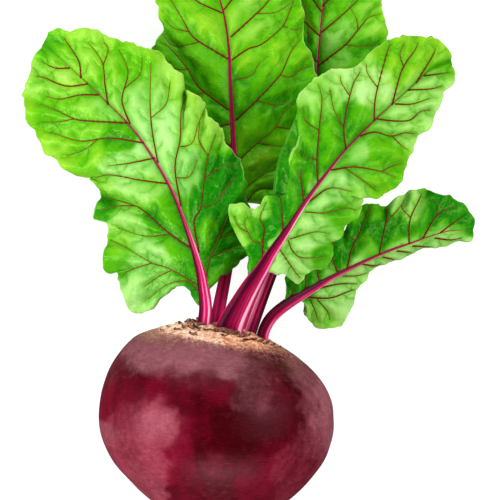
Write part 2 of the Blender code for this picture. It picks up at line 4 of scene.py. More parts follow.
import bpy
import numpy as np
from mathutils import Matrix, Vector


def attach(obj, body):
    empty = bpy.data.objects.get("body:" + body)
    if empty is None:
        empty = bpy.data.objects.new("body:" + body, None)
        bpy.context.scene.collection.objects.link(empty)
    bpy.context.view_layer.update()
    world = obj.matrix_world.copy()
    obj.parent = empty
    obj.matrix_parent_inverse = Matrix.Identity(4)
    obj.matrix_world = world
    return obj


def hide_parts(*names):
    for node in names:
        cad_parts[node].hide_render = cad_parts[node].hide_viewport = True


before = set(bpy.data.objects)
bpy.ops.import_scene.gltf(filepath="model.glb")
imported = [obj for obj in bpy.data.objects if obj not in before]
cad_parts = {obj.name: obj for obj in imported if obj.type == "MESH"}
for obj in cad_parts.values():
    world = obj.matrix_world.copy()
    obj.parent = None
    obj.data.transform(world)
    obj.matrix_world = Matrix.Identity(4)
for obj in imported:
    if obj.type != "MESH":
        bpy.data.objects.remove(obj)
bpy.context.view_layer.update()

# The root: a bulb of crimson flesh in a thin satin skin, grown in one piece with its corky
# crown and its tapering taproot. It lies on a small flat spot, a little tilted, crown up.
MM = 0.001
UP = np.array((0.0, 0.0, 1.0))
CROWN_TILT = math.radians(7)
CROWN_AXIS = np.array((0, math.cos(CROWN_TILT), math.sin(CROWN_TILT)))
# How steeply the crown drops to the right, and where along the root that sets in
CROWN_SLOPE = 0.14
CROWN_SLOPE_FADE = (-5 * MM, 25 * MM)
# How far the root is from round, as shares of its radius
OVAL = 0.010
THREE_SIDED = 0.008
BULB_DEPTH = 0.0882
# From the crown down to the neck: millimetres along the axis, aside of it, and radius
BULB_PROFILE = (
    (35.3, 0, 0.1), (34.6, 0, 7), (32.8, 0.2, 15), (31, 0.4, 21.5), (28.6, 0.7, 27.8), (25, 0.9, 33.4),
    (20, 0.9, 38), (14, 0.6, 41.9), (7, 0.3, 44.4), (0, 0, 45.2), (-6, 0.2, 44.9), (-12, 0.5, 43.2),
    (-18, 0.8, 40.3), (-24, 1.1, 35.7), (-30, 1.3, 29.8), (-36, 1.4, 22.8), (-42, 1.5, 15.6),
    (-47, 1.6, 10.6),
)
# The taproot's bends below the neck: x, y, z and radius, in millimetres
TAPROOT = (
    (1.8, -53, 37, 7.2), (2.5, -62, 33, 5), (4, -74, 26, 3.6), (6.5, -87, 17.5, 2.7), (9.5, -99, 10, 2),
    (13, -110, 5, 1.5), (17, -121, 2.2, 1.1), (20, -131, 1, 0.6),
)
# Where the fresh stalks leave the crown: x, z and half width, in millimetres
STALK_FEET = ((-4.5, 49.5, 2.8), (0, 41, 2.6), (12.5, 39.5, 2.8), (5.5, 52.5, 5.2), (18.5, 46, 2.2))
CORE_FADE = 3.5
ROOT_RINGS = 350
ROOT_SIDES = 256
# How far the cork reaches from the crown's axis, how far its edge wanders and how it fades
CORK_REACH = 21.5 * MM
CORK_WANDER = 2 * MM
CORK_FADE = (-7 * MM, 5 * MM)
CORK_FROM = 15 * MM
CORK_LIFT = 0.4 * MM
# Where along the root the crown's tan specks begin, and the tail's brown skin
NEAR_CROWN_FADE = (17 * MM, 33 * MM)
TAIL_FADE = (48 * MM, 70 * MM)
TAIL_SMOOTHING = 0.8
# Layers of relief: height and size in millimetres, and a seed
CORK_RELIEF = ((0.55, 2.6, 5), (0.3, 1.1, 6))
SKIN_RELIEF = ((0.35, 21, 1), (0.20, 8, 2))
TAIL_RELIEF = ((0.28, 3, 3),)
SCAR_SPACING = 1.1 * MM
SCAR_HEIGHT = 0.16 * MM


class Socket:
    """A node's output, to which Python's operators add Math nodes."""

    def __init__(self, paint, output):
        self.paint = paint
        self.output = output

    def math(self, operation, *values):
        """A Math node on these values."""
        inputs = dict(enumerate(values))
        return self.paint.node("ShaderNodeMath", {"operation": operation}, inputs)

    def __add__(self, other):
        return self.math("ADD", self, other)

    def __sub__(self, other):
        return self.math("SUBTRACT", self, other)

    def __rsub__(self, other):
        return self.math("SUBTRACT", other, self)

    def __mul__(self, other):
        return self.math("MULTIPLY", self, other)

    __radd__ = __add__
    __rmul__ = __mul__

    def ease(self, low, high):
        """0 below low, 1 above high and a smooth step between."""
        values = {"Value": self, "From Min": low, "From Max": high}
        return self.paint.node("ShaderNodeMapRange", {"interpolation_type": "SMOOTHSTEP"}, values)

    def swing(self, amount):
        """Noise from 0 to 1 turned into a swing of this amount round 0."""
        return (self - 0.5) * amount


class Paint:
    """A Principled material whose nodes all come from one method."""

    def __init__(self, name, **constants):
        self.material = bpy.data.materials.new(name)
        self.material.use_nodes = True
        self.tree = self.material.node_tree
        self.shader = self.tree.nodes["Principled BSDF"]
        for socket, value in constants.items():
            self.shader.inputs[socket.replace("_", " ")].default_value = value

    def node(self, kind, settings, values, output=0):
        """Any node: its type, its settings, the values or links of its sockets, and which of its
        outputs to go on with."""
        made = self.tree.nodes.new(kind)
        for name, value in settings.items():
            setattr(made, name, value)
        self.feed(made, values)
        return Socket(self, made.outputs[output])

    def feed(self, made, values):
        """Sets a node's sockets, or links those whose value is a socket itself."""
        for key, value in values.items():
            if isinstance(value, Socket):
                self.tree.links.new(value.output, made.inputs[key])
            else:
                made.inputs[key].default_value = value

    def mix(self, factor, first, second):
        """The first colour where the factor is 0 and the second where it is 1."""
        values = {0: factor, 6: opaque(first), 7: opaque(second)}
        return self.node("ShaderNodeMix", {"data_type": "RGBA"}, values, 2)

    def attributes(self, *names):
        """The values that a mesh carries under these names."""
        return [self.node("ShaderNodeAttribute", {"attribute_name": name}, {}, 2) for name in names]

    def place(self, scale=(1, 1, 1), turn=(0, 0, 0)):
        """Object coordinates, turned and stretched."""
        coordinates = self.node("ShaderNodeTexCoord", {}, {}, 3)
        values = {"Vector": coordinates, "Scale": scale, "Rotation": turn}
        return self.node("ShaderNodeMapping", {}, values)

    def noise(self, scale, detail=3, roughness=0.5, place=None):
        """Noise from 0 to 1, on object coordinates unless another place is given."""
        values = {"Vector": place or self.place(), "Scale": scale, "Detail": detail,
                  "Roughness": roughness}
        return self.node("ShaderNodeTexNoise", {}, values)

    def finish(self, colour, roughness, height=None, strength=0.3, depth=0.0005):
        """The material with its colour, its roughness and bumps from a height."""
        self.feed(self.shader, {"Base Color": colour, "Roughness": roughness})
        if height is not None:
            values = {"Strength": strength, "Distance": depth, "Height": height}
            self.feed(self.shader, {"Normal": self.node("ShaderNodeBump", {}, values)})
        return self.material


def opaque(colour):
    """A plain colour with an alpha of 1."""
    return colour if isinstance(colour, Socket) else (*colour, 1)


def unit(vectors):
    """Vectors divided by their lengths."""
    return vectors / np.maximum(np.linalg.norm(vectors, axis=-1, keepdims=True), 1e-12)


def curve_at(points, q):
    """A Catmull-Rom curve at fractional point numbers: between two points, the cubic whose ends
    run along the chords of their neighbours."""
    rows = np.array(points, dtype=float)
    rows = np.vstack((2 * rows[0] - rows[1], rows, 2 * rows[-1] - rows[-2]))
    span = np.clip(np.floor(q).astype(int), 0, len(rows) - 4)
    t = (q - span)[:, None]
    before, start, end, after = (rows[span + step] for step in range(4))
    return 0.5 * (2 * start + (end - before) * t
                  + (2 * before - 5 * start + 4 * end - after) * t ** 2
                  + (3 * start - before - 3 * end + after) * t ** 3)


def rough(points, size, seed):
    """Smooth noise from -1 to 1: random numbers at the corners of cubes of this size, blended by
    an eased share of the way between them."""
    lattice = np.random.default_rng(seed).uniform(-1, 1, (32, 32, 32))
    cell = points / size
    base = np.floor(cell).astype(int)
    share = cell - base
    share = share * share * (3 - 2 * share)
    total = 0
    for corner in itertools.product((0, 1), repeat=3):
        weight = np.prod(np.where(np.array(corner) == 1, share, 1 - share), axis=-1)
        x, y, z = np.moveaxis((base + corner) % 32, -1, 0)
        total = total + weight * lattice[x, y, z]
    return total


def relief(points, layers):
    """A sum of smooth noise: each layer's height times its noise."""
    return sum(height * MM * rough(points, size * MM, seed) for height, size, seed in layers)


def ease(value, low, high):
    """0 below low, 1 above high and a smooth step between."""
    share = np.clip((value - low) / (high - low), 0, 1)
    return share * share * (3 - 2 * share)


def grid_normals(grid, wrap=False):
    """Unit normals of a grid: the way along its rows crossed with the way down its columns."""
    down = np.gradient(grid, axis=0)
    if wrap:
        along = np.roll(grid, -1, axis=1) - np.roll(grid, 1, axis=1)
    else:
        along = np.gradient(grid, axis=1)
    return unit(np.cross(along, down))


def grid_faces(rows, columns, wrap=False, flip=False):
    """Quads between neighbours on a grid numbered row by row."""
    row = np.arange(rows - 1)[:, None] * columns
    column = np.arange(columns if wrap else columns - 1)[None, :]
    after = (column + 1) % columns
    faces = np.stack((row + column, row + after, row + columns + after, row + columns + column), -1)
    faces = faces.reshape(-1, 4)
    return faces[:, ::-1] if flip else faces


def new_piece(name, points, faces, material, attributes=None):
    """An object at the origin from point and face arrays, with a float attribute for each name,
    whose values are given for each point, row or column."""
    mesh = bpy.data.meshes.new(name)
    mesh.from_pydata(points.reshape(-1, 3).tolist(), [], [list(face) for face in faces])
    for key, values in (attributes or {}).items():
        layer = mesh.attributes.new(key, "FLOAT", "POINT")
        spread = np.broadcast_to(values, points.shape[:-1])
        layer.data.foreach_set("value", spread.astype(np.float32).ravel())
    mesh.materials.append(material)
    mesh.shade_smooth()
    mesh.update()
    piece = bpy.data.objects.new(name, mesh)
    bpy.context.scene.collection.objects.link(piece)
    return piece


def swept_grid(spine, sides, section):
    """Rings round a spine of x, y, z and radius: each ring is the section's across and up
    shares of the radius, square to the spine."""
    centres = spine[:, :3]
    along = unit(np.gradient(centres, axis=0))
    across = unit(np.cross(along, UP))
    up = np.cross(across, along)
    turns = np.arange(sides) * 2 * math.pi / sides
    wide, high = section(turns)
    reach = spine[:, 3][:, None, None]
    ring = wide[..., None] * across[:, None, :] + high[..., None] * up[:, None, :]
    return centres[:, None, :] + reach * ring


def capped_faces(rows, sides, first, flip=False):
    """Faces of a tube whose first and last rings close on themselves as one polygon."""
    faces = (grid_faces(rows, sides, wrap=True, flip=flip) + first).tolist()
    start = list(range(first, first + sides))
    end = [first + (rows - 1) * sides + side for side in range(sides)]
    return faces + ([start, end[::-1]] if flip else [start[::-1], end])


def root_spine():
    """The bulb's centre line down its tilted axis and on through the taproot: x, y, z, radius
    and how far its rings are moved aside."""
    along, aside, radius = np.array(BULB_PROFILE).T
    centre_z = BULB_DEPTH / 2 / MM
    bulb = np.stack((0 * along, along * math.cos(CROWN_TILT),
                     centre_z + along * math.sin(CROWN_TILT), radius, aside), -1)
    points = np.vstack((bulb, np.pad(TAPROOT, ((0, 0), (0, 1))))) * MM
    return curve_at(points, np.linspace(0, len(points) - 1, ROOT_RINGS))


def root_section(turns):
    """A circle with waves of two and of three round it."""
    wobble = 1 - OVAL * np.sin(2 * turns) + THREE_SIDED * np.sin(3 * turns)
    return -wobble * np.cos(turns), wobble * np.sin(turns)


def root_surface():
    """Sections swept down the spine, the crown's rings sheared down to the right. Noise along the
    normals raises dents in the skin, cork with leaf scars as a sine of the distance from the
    axis, and wrinkles on the tail. Also how corky, and how much of the tail, each point is."""
    spine = root_spine()
    grid = swept_grid(spine, ROOT_SIDES, root_section)
    low, high = CROWN_SLOPE_FADE
    slope = CROWN_SLOPE * np.clip((spine[:, 1] - low) / (high - low), 0, 1)
    lean = (grid[..., 0] - spine[:, None, 0]) * slope[:, None]
    grid = grid - lean[..., None] * CROWN_AXIS
    radial = np.linalg.norm(grid - spine[:, None, :3], axis=-1)
    grid[..., 0] += spine[:, 4:]
    limit = CORK_REACH + CORK_WANDER * rough(grid, 5 * MM, 4)
    crown = ease(limit - radial, *CORK_FADE) * (spine[:, 1] > CORK_FROM)[:, None]
    tail = ease(-spine[:, 1], *TAIL_FADE)[:, None]
    normals = grid_normals(grid, wrap=True)
    scars = np.sin(radial / SCAR_SPACING + 3 * rough(grid, 4 * MM, 8))
    cork = relief(grid, CORK_RELIEF) + SCAR_HEIGHT * scars + CORK_LIFT
    skin = relief(grid, SKIN_RELIEF) * (1 - tail * TAIL_SMOOTHING)
    wrinkle = relief(grid * (1, 3, 1), TAIL_RELIEF)
    grid = grid + normals * (skin + crown * cork + tail * wrinkle)[..., None]
    grid[..., 2] = np.maximum(grid[..., 2], 0)
    return grid, crown, tail


BULB_WIDTH = 0.090
BULB_WIDTH_PX = 233
REST_SPOT_PX = (216, 415)
PICTURE_CENTRE_PX = (244.5, 250)
PX = BULB_WIDTH / BULB_WIDTH_PX
EYE_HEIGHT = 3.0
EYE = (
    (PICTURE_CENTRE_PX[0] - REST_SPOT_PX[0]) * PX,
    (REST_SPOT_PX[1] - PICTURE_CENTRE_PX[1]) * PX,
)
# How the skin varies, as judged: across and down in the picture and reach there, then its dullness,
# partly bloom and partly painted highlight and reflection, and its crimson flush, which also tints
# that highlight pink, from 0 to 1. The first six lie on the cork, where the dullness is how pale it is.
SKIN_SPOTS = (
    (156, 330, 8, 1, 0.3), (178, 331, 7, 0.9, 0.3), (208, 335, 7, 0.8, 0.3), (238, 342, 7, 0.5, 0.3),
    (256, 347, 7, 0.35, 0.3), (275, 353, 7, 0.4, 0.25), (150, 362, 18, 0.85, 0.1), (188, 360, 20, 1, 0.15),
    (225, 360, 17, 1, 0.1), (258, 366, 13, 0.5, 0.1), (118, 372, 12, 0.3, 0.35), (275, 375, 10, 0.25, 0.2),
    (300, 372, 12, 0.65, 0.3), (130, 388, 12, 0, 0.5), (151, 389, 9, 0, 0.45), (172, 387, 13, 0, 0.45),
    (307, 404, 8, 0.45, 0.4), (204, 384, 11, 0.05, 0.3), (224, 394, 9, 0.05, 0.45),
    (243, 396, 10, 0.5, 0.2), (262, 402, 9, 0.45, 0.3), (286, 398, 12, 0.1, 0.2), (104, 402, 9, 0.05, 0.5),
    (124, 414, 14, 0.35, 0.6), (163, 416, 19, 0.7, 0.8), (142, 438, 17, 0.5, 0.7), (108, 436, 10, 0.6, 0.5),
    (120, 450, 14, 0.4, 0.6), (156, 462, 14, 0.45, 0.7), (192, 404, 11, 0, 0.2), (190, 430, 10, 0.05, 0.4),
    (228, 430, 20, 0, 0.05), (258, 430, 18, 0, 0.1), (286, 428, 14, 0, 0.2), (176, 452, 8, 0.1, 0.55),
    (182, 472, 9, 0, 0.45), (188, 490, 9, 0, 0.45), (218, 474, 16, 0.2, 0.25), (264, 452, 8, 0, 0.35),
    (257, 470, 9, 0, 0.45), (252, 488, 9, 0, 0.5), (290, 462, 14, 0.25, 0.5), (306, 440, 12, 0.4, 0.5),
    (324, 426, 12, 0.85, 0.45), (326, 396, 12, 1, 0.4), (140, 480, 16, 0.5, 0.55),
)
SKIN_WAVER_PX = 6
FAR_WEIGHT = 1e-4
# Colours from deep to flushed or from dark to pale; grain is first on bare skin, then on bloom.
# The bloom colours also stand for painted highlight and reflection.
SKIN = ((0.040, 0.0003, 0.0014), (0.190, 0.001, 0.019))
SKIN_BLOOM_AND_SHEEN = ((0.235, 0.075, 0.092), (0.34, 0.085, 0.115))
PALE_GRAIN = ((0.20, 0.010, 0.028), (0.55, 0.25, 0.28))
DARK_GRAIN = ((0.014, 0.0003, 0.001), (0.12, 0.018, 0.030))
TAN_SPECK = (0.62, 0.30, 0.18)
CORK = ((0.44, 0.15, 0.070), (0.86, 0.46, 0.26))
CORK_FLAKE = (1.0, 0.77, 0.58)
CORK_FIBRE = (0.42, 0.12, 0.075)
CROWN_CORE = (0.10, 0.018, 0.020)
TAIL_BROWN = ((0.16, 0.05, 0.03), (0.33, 0.16, 0.09))


def pixel_at(z):
    """The size of a pixel at a height, in proportion to the distance below the eye."""
    return PX * (EYE_HEIGHT - z) / (EYE_HEIGHT - BULB_WIDTH / 2)


def unplan(points):
    """Across and down, in the picture, of points in space."""
    pixel = pixel_at(points[..., 2])
    across = PICTURE_CENTRE_PX[0] + (points[..., 0] - EYE[0]) / pixel
    down = PICTURE_CENTRE_PX[1] - (points[..., 1] - EYE[1]) / pixel
    return np.stack((across, down), -1)


def by_spots(points, spots, waver_px):
    """The two tones of a surface: the mean of its spots, each weighted by a bell of its distance
    in the picture over its reach, and more the smaller that reach is. Noise shifts each point a
    little, so that no tone ends in a clean edge."""
    waver = [rough(points, size * MM, 21 + size) for size in (3, 4)]
    flat = (unplan(points) + waver_px * np.stack(waver, -1)).reshape(-1, 2)
    spots = np.array(spots, dtype=float)
    apart = np.linalg.norm(flat[:, None, :] - spots[None, :, :2], axis=-1)
    weight = (np.exp(-(apart / spots[:, 2]) ** 2) + FAR_WEIGHT / (1 + apart)) / spots[:, 2] ** 2
    tones = weight @ spots[:, 3:] / weight.sum(1, keepdims=True)
    return np.moveaxis(tones.reshape(*points.shape[:-1], 2), -1, 0)


def beet_skin():
    """Crimson skin with short rings round the bulb, with patches of bloom and painted highlight and
    reflection, tan cork on the crown, brown down the tail.
    """
    paint = Paint("beet_skin", Specular_IOR_Level=0.13, Specular_Tint=(1, 0.42, 0.56, 1))
    crown, tail, near, core, dull_and_sheen, flush = paint.attributes(
        "crown", "tail", "near_crown", "core", "dull_and_sheen", "flush")
    tilt = (-CROWN_TILT, 0, 0)
    dashes = paint.noise(1, 4, 0.65, paint.place((300, 2400, 300), tilt))
    streaks = paint.noise(1, 4, 0.55, paint.place((110, 16, 110), tilt))
    fibre = paint.noise(1, 4, 0.6, paint.place((900, 170, 900), tilt))
    blotch = paint.noise(70, 4, 0.6)
    mottle = paint.noise(420, 6, 0.7)
    fleck = paint.noise(460, 5, 0.75)
    speck = paint.noise(1300, 3, 0.6)
    red = (flush + streaks.swing(0.8) + blotch.swing(0.2)).ease(0.05, 0.95)
    # The skin's dullness: bloom, and painted highlight and reflection where the lamps and table shine
    dusk = dull_and_sheen + mottle.swing(0.4) + blotch.swing(0.2) + streaks.swing(0.3)
    dusk = dusk.ease(0.08, 1.2)
    painted_sheen = paint.mix(flush.ease(0.2, 0.7), *SKIN_BLOOM_AND_SHEEN)
    skin = paint.mix(dusk, paint.mix(red, *SKIN), painted_sheen)
    grain = dashes.swing(1.1) + mottle.swing(0.9) + speck.swing(0.5)
    skin = paint.mix(grain.ease(0.02, 0.32) * 0.24, skin, paint.mix(dusk, *PALE_GRAIN))
    skin = paint.mix(grain.ease(-0.02, -0.32) * 0.42, skin, paint.mix(dusk, *DARK_GRAIN))
    dusty = (speck * 0.8 + mottle * 0.6 + near * 0.42).ease(0.93, 1.20) * near
    skin = paint.mix(dusty * 0.8, skin, TAN_SPECK)
    pale = (fleck + blotch.swing(0.4) + (dull_and_sheen - 0.72) * 0.4).ease(0.42, 0.64)
    cork = paint.mix(pale * 0.75, paint.mix(fleck.ease(0.36, 0.56), *CORK), CORK_FLAKE)
    cork = paint.mix(fibre.ease(0.50, 0.66) * 0.55, cork, CORK_FIBRE)
    cork = paint.mix(core * 0.85, cork, CROWN_CORE)
    corky = crown * 1.5 + fibre.swing(2.2) + mottle.swing(1.1)
    corky = corky.ease(0.30, 1.20) * crown.ease(0, 0.15)
    brown = paint.mix(streaks, *TAIL_BROWN)
    colour = paint.mix(tail * 0.85, paint.mix(corky, skin, cork), brown)
    roughness = 0.25 + mottle * 0.16 + crown * 0.38 + tail * 0.3 + near * 0.14
    height = dashes * 0.5 + mottle * 0.7 + speck * (0.15 + crown * 0.8)
    return paint.finish(colour, roughness, height, 0.35, 0.0004)


root_grid, crown_mask, tail_mask = root_surface()
near_mask = ease(root_grid[..., 1] + CROWN_SLOPE * root_grid[..., 0], *NEAR_CROWN_FADE)
core_mask = np.max([
    1 - ease(np.hypot(root_grid[..., 0] - x * MM, root_grid[..., 2] - z * MM), clear * MM,
             (clear + CORE_FADE) * MM)
    for x, z, clear in STALK_FEET], axis=0) * crown_mask
# Bloom with painted highlight and reflection, and crimson flush, spread from the skin's spots
dull_and_sheen_tone, flush_tone = by_spots(root_grid, SKIN_SPOTS, SKIN_WAVER_PX)
root = new_piece(
    "root", root_grid, capped_faces(ROOT_RINGS, ROOT_SIDES, 0), beet_skin(),
    {"crown": crown_mask, "tail": tail_mask, "near_crown": near_mask, "core": core_mask,
     "dull_and_sheen": dull_and_sheen_tone, "flush": flush_tone},
)
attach(root, "root")
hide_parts("beet_root")


# The dried leaf bases: the papery brown stumps of older leaves, which stay on the crown in
# rings round the fresh stalks. Each is a curled scale of dry skin with a torn end.
# Rings of them: distance from the crown's axis in millimetres, and how many
SCALE_RINGS = ((7.5, 6), (11, 9), (14.5, 9), (18.5, 7), (22, 6))
SCALE_HALF_WIDTH = 2.6 * MM
SCALE_HEIGHT = 1.4 * MM
SCALE_GAP = 0.7
SCALE_ROWS = 14
SCALE_COLUMNS = 13
SCALE_THICKNESS = 0.4 * MM
# How far the scales lean out from the crown's axis: at the front, and for each mm from it
FRONT_LEAN = 0.75
LEAN_PER_MM = 0.03
# Height and size of its crinkles, in millimetres
SCALE_CRINKLE = (0.35, 1.3)
SCALE_BROWN = ((0.060, 0.016, 0.010), (0.34, 0.16, 0.085))
SCALE_RED = (0.10, 0.010, 0.018)
# Rims at the front of the stalks: across and down in the picture, half width and height in mm
FRONT_SCALES = (
    (177, 329.5, 1.7, 0.8), (184, 328.5, 2.1, 0.9), (190, 327.5, 1.6, 1.2), (195, 326, 0.5, 3.4),
    (199, 329, 1.5, 0.9), (207, 330, 1.7, 0.7), (218, 331.5, 2.6, 0.9), (227, 332.5, 2.8, 1),
    (235, 334.5, 2.4, 1.2), (242, 337.5, 2.2, 1), (248, 340, 2, 0.9), (254, 340, 2.2, 1.2),
    (261, 342, 2, 1.1), (267, 343.5, 1.9, 1.2), (273, 345.5, 1.7, 0.9), (279, 347.5, 1.3, 0.7),
)


def front_seat(across, down):
    """The root's upper surface at a pixel, with the ways that a scale there stands and spreads:
    up the slope and out, and round the crown."""
    upper = root_grid.reshape(-1, 3)
    upper = upper[upper[:, 2] > BULB_DEPTH / 2]
    apart = np.linalg.norm(unplan(upper) - (across, down), axis=1)
    point = upper[np.argmin(apart)]
    out = point - UP * BULB_DEPTH / 2
    out = unit(out - CROWN_AXIS * np.dot(out, CROWN_AXIS))
    return point, unit(CROWN_AXIS + FRONT_LEAN * out), np.cross(CROWN_AXIS, out)


def crown_point(ring_radius, turn):
    """A point on the crown at a distance in millimetres from its axis, and the ways that a dried
    leaf base there stands and spreads."""
    along, _, radii = np.array(BULB_PROFILE[:8]).T
    height = np.interp(ring_radius, radii, along)
    across = np.array((1, 0, 0))
    out = across * math.cos(turn) + np.cross(across, CROWN_AXIS) * math.sin(turn)
    centre = UP * BULB_DEPTH / 2
    rise = height - CROWN_SLOPE * ring_radius * math.cos(turn)
    point = centre + MM * (CROWN_AXIS * rise + out * ring_radius)
    facing = unit(CROWN_AXIS + LEAN_PER_MM * ring_radius * out)
    return point, facing, np.cross(CROWN_AXIS, out)


def scale_surface(point, facing, spread, width, height, seed):
    """A strip that widens and narrows as it rises, cupped round the crown's axis and ragged at
    its end: across runs from -1 to 1, and up from below the skin to the torn end."""
    random = np.random.default_rng(seed)
    across = np.linspace(-1, 1, SCALE_COLUMNS)[None, :]
    up = np.linspace(-0.5, 1, SCALE_ROWS)[:, None]
    outward = np.cross(spread, facing)
    torn = 1 + random.uniform(-0.4, 0.35, SCALE_COLUMNS)[None, :] * ease(up, 0.1, 1)
    half = width * (1 - 0.45 * np.clip(up, 0, 1) ** 2)
    curl = random.uniform(-0.25, 0.6)
    cup = (across ** 2 * random.uniform(-0.5, -0.2) + curl * np.clip(up, 0, 1) ** 2) * width
    lean = random.uniform(-0.3, 0.3)
    grid = (point + facing * (height * up * torn)[..., None]
            + spread * (half * across + lean * height * up)[..., None]
            + outward * cup[..., None])
    return grid + facing * relief(grid, ((*SCALE_CRINKLE, seed),))[..., None]


def dry_scale():
    """Brown papery skin with dark fibres along it and dark red patches."""
    paint = Paint("dry_leaf_base", Specular_IOR_Level=0.3)
    fibre = paint.noise(1, 3, 0.6, paint.place((900, 150, 900)))
    patch = paint.noise(260, 3)
    dry = paint.mix(fibre.ease(0.35, 0.65), *SCALE_BROWN)
    colour = paint.mix(patch.ease(0.45, 0.65) * 0.8, dry, SCALE_RED)
    return paint.finish(colour, 0.65 + patch * 0.2, fibre, 0.6, 0.0003)


scale_grids = []
for ring, (ring_radius, ring_count) in enumerate(SCALE_RINGS):
    for number in range(ring_count):
        scale_turn = 2 * math.pi * (number + 0.37 * ring + 0.3 * math.sin(7 * number)) / ring_count
        spot, facing, spread = crown_point(ring_radius, scale_turn)
        apart = [math.hypot(spot[0] - x * MM, spot[2] - z * MM) - (half + SCALE_GAP) * MM
                 for x, z, half in STALK_FEET]
        if min(apart) > 0:
            width = SCALE_HALF_WIDTH * (1 + 0.35 * math.sin(3 * number) - 0.08 * ring)
            height = SCALE_HEIGHT * (1 + 0.4 * math.sin(5 * number + ring) - 0.17 * ring)
            seed = 40 + 20 * ring + number
            scale_grids.append(scale_surface(spot, facing, spread, width, height, seed))
for number, (across, down, half, height) in enumerate(FRONT_SCALES):
    spot, facing, spread = front_seat(across, down)
    scale_grids.append(scale_surface(spot, facing, spread, half * MM, height * MM, 200 + number))
scale_size = SCALE_ROWS * SCALE_COLUMNS
scale_faces = np.vstack([grid_faces(SCALE_ROWS, SCALE_COLUMNS) + index * scale_size
                         for index in range(len(scale_grids))])
scales = new_piece("dried_leaf_bases", np.array(scale_grids), scale_faces.tolist(), dry_scale())
skin_depth = scales.modifiers.new("skin_depth", "SOLIDIFY")
skin_depth.thickness = SCALE_THICKNESS
skin_depth.offset = 0
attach(scales, "root")


# The rootlets: side roots and fine hairs that spring from the taproot in two rows and trail
# down to the table, brown and thinner than thread.
ROOTLETS = 8
HAIRS = 130
HAIR_STEPS = 9
HAIR_SIDES = 6
ROOTLET_RADII = (0.7, 0.25)
HAIR_RADII = (0.16, 0.06)
HAIR_BROWN = ((0.20, 0.08, 0.05), (0.42, 0.24, 0.15))


def rootlet_path(start, side, reach, droop, waver):
    """A path that runs out sideways, back a little, and down as a power of its length."""
    t = np.linspace(0, 1, HAIR_STEPS)
    return start[:3] + np.stack((
        side * reach * t,
        -reach * (0.35 * t + 0.25 * t ** 2 * math.sin(waver)),
        -droop * t ** 1.6,
    ), -1)


def tail_point(share):
    """The taproot's centre and radius at a share of its length."""
    return curve_at(TAPROOT, np.array([share * (len(TAPROOT) - 1)]))[0] * MM


def round_section(turns):
    """A circle."""
    return np.cos(turns), np.sin(turns)


def thread(path, radii):
    """A spine along a path whose radius runs evenly between two, in millimetres."""
    return np.column_stack((path, np.linspace(*radii, HAIR_STEPS) * MM))


def root_hair():
    """Dry brown from dark to pale."""
    paint = Paint("root_hair")
    tone = paint.noise(180)
    return paint.finish(paint.mix(tone, *HAIR_BROWN), 0.7 + tone * 0.1)


hair_random = np.random.default_rng(12)
root_threads = []
for number in range(ROOTLETS):
    share = (number + 0.5) / ROOTLETS
    start = tail_point(share * 0.82)
    reach = (20 - 9 * share) * MM
    droop = (start[2] - 0.9 * MM) * 0.75
    path = rootlet_path(start, 1 if number % 2 else -1, reach, droop, number)
    root_threads.append(thread(path, ROOTLET_RADII))
for number in range(HAIRS):
    start = tail_point(hair_random.uniform(0, 0.98))
    reach = hair_random.uniform(3, 11) * MM
    droop = min(hair_random.uniform(-0.2, 0.8) * reach, start[2] - 0.4 * MM)
    path = rootlet_path(start, hair_random.choice((-1, 1)), reach, droop, number)
    root_threads.append(thread(path, HAIR_RADII))
thread_grids = np.array([swept_grid(spine, HAIR_SIDES, round_section) for spine in root_threads])
thread_faces = []
for index in range(len(root_threads)):
    thread_faces += capped_faces(HAIR_STEPS, HAIR_SIDES, index * HAIR_STEPS * HAIR_SIDES, flip=True)
hairs = new_piece("rootlets", thread_grids, thread_faces, root_hair())
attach(hairs, "root")


# The stalks: juicy crimson leaf stalks, crescent in section with a channel along the upper
# side, ribbed lengthwise, running on through each blade as its tapering midrib.
STALK_RINGS = 170
STALK_SIDES = 56
STALK_FLATNESS = 0.72
CHANNEL_DEPTH = 0.40
ROUTE_STEPS = 12
# How much slimmer a midrib is than its reading, and from where in it the blade springs
MIDRIB_SLIMMING = 0.22
SPRING_SHARE = 0.4
TONE_WAVER = 0.20
THIN_FADE = (0.5 * MM, 1.8 * MM)
STALK_PURPLE = (0.042, 0.001, 0.014)
# The colours that follow purple, each with the tones over which it takes over; the last is the
# pale pink of a painted highlight
STALK_COLOURS = (
    (0, 0.42, (0.20, 0.002, 0.030)), (0.42, 0.75, (0.58, 0.008, 0.11)),
    (0.80, 1, (0.85, 0.16, 0.35)), (1.02, 1.25, (0.95, 0.60, 0.70)),
)
THIN_MIDRIB = (0.20, 0.006, 0.018)
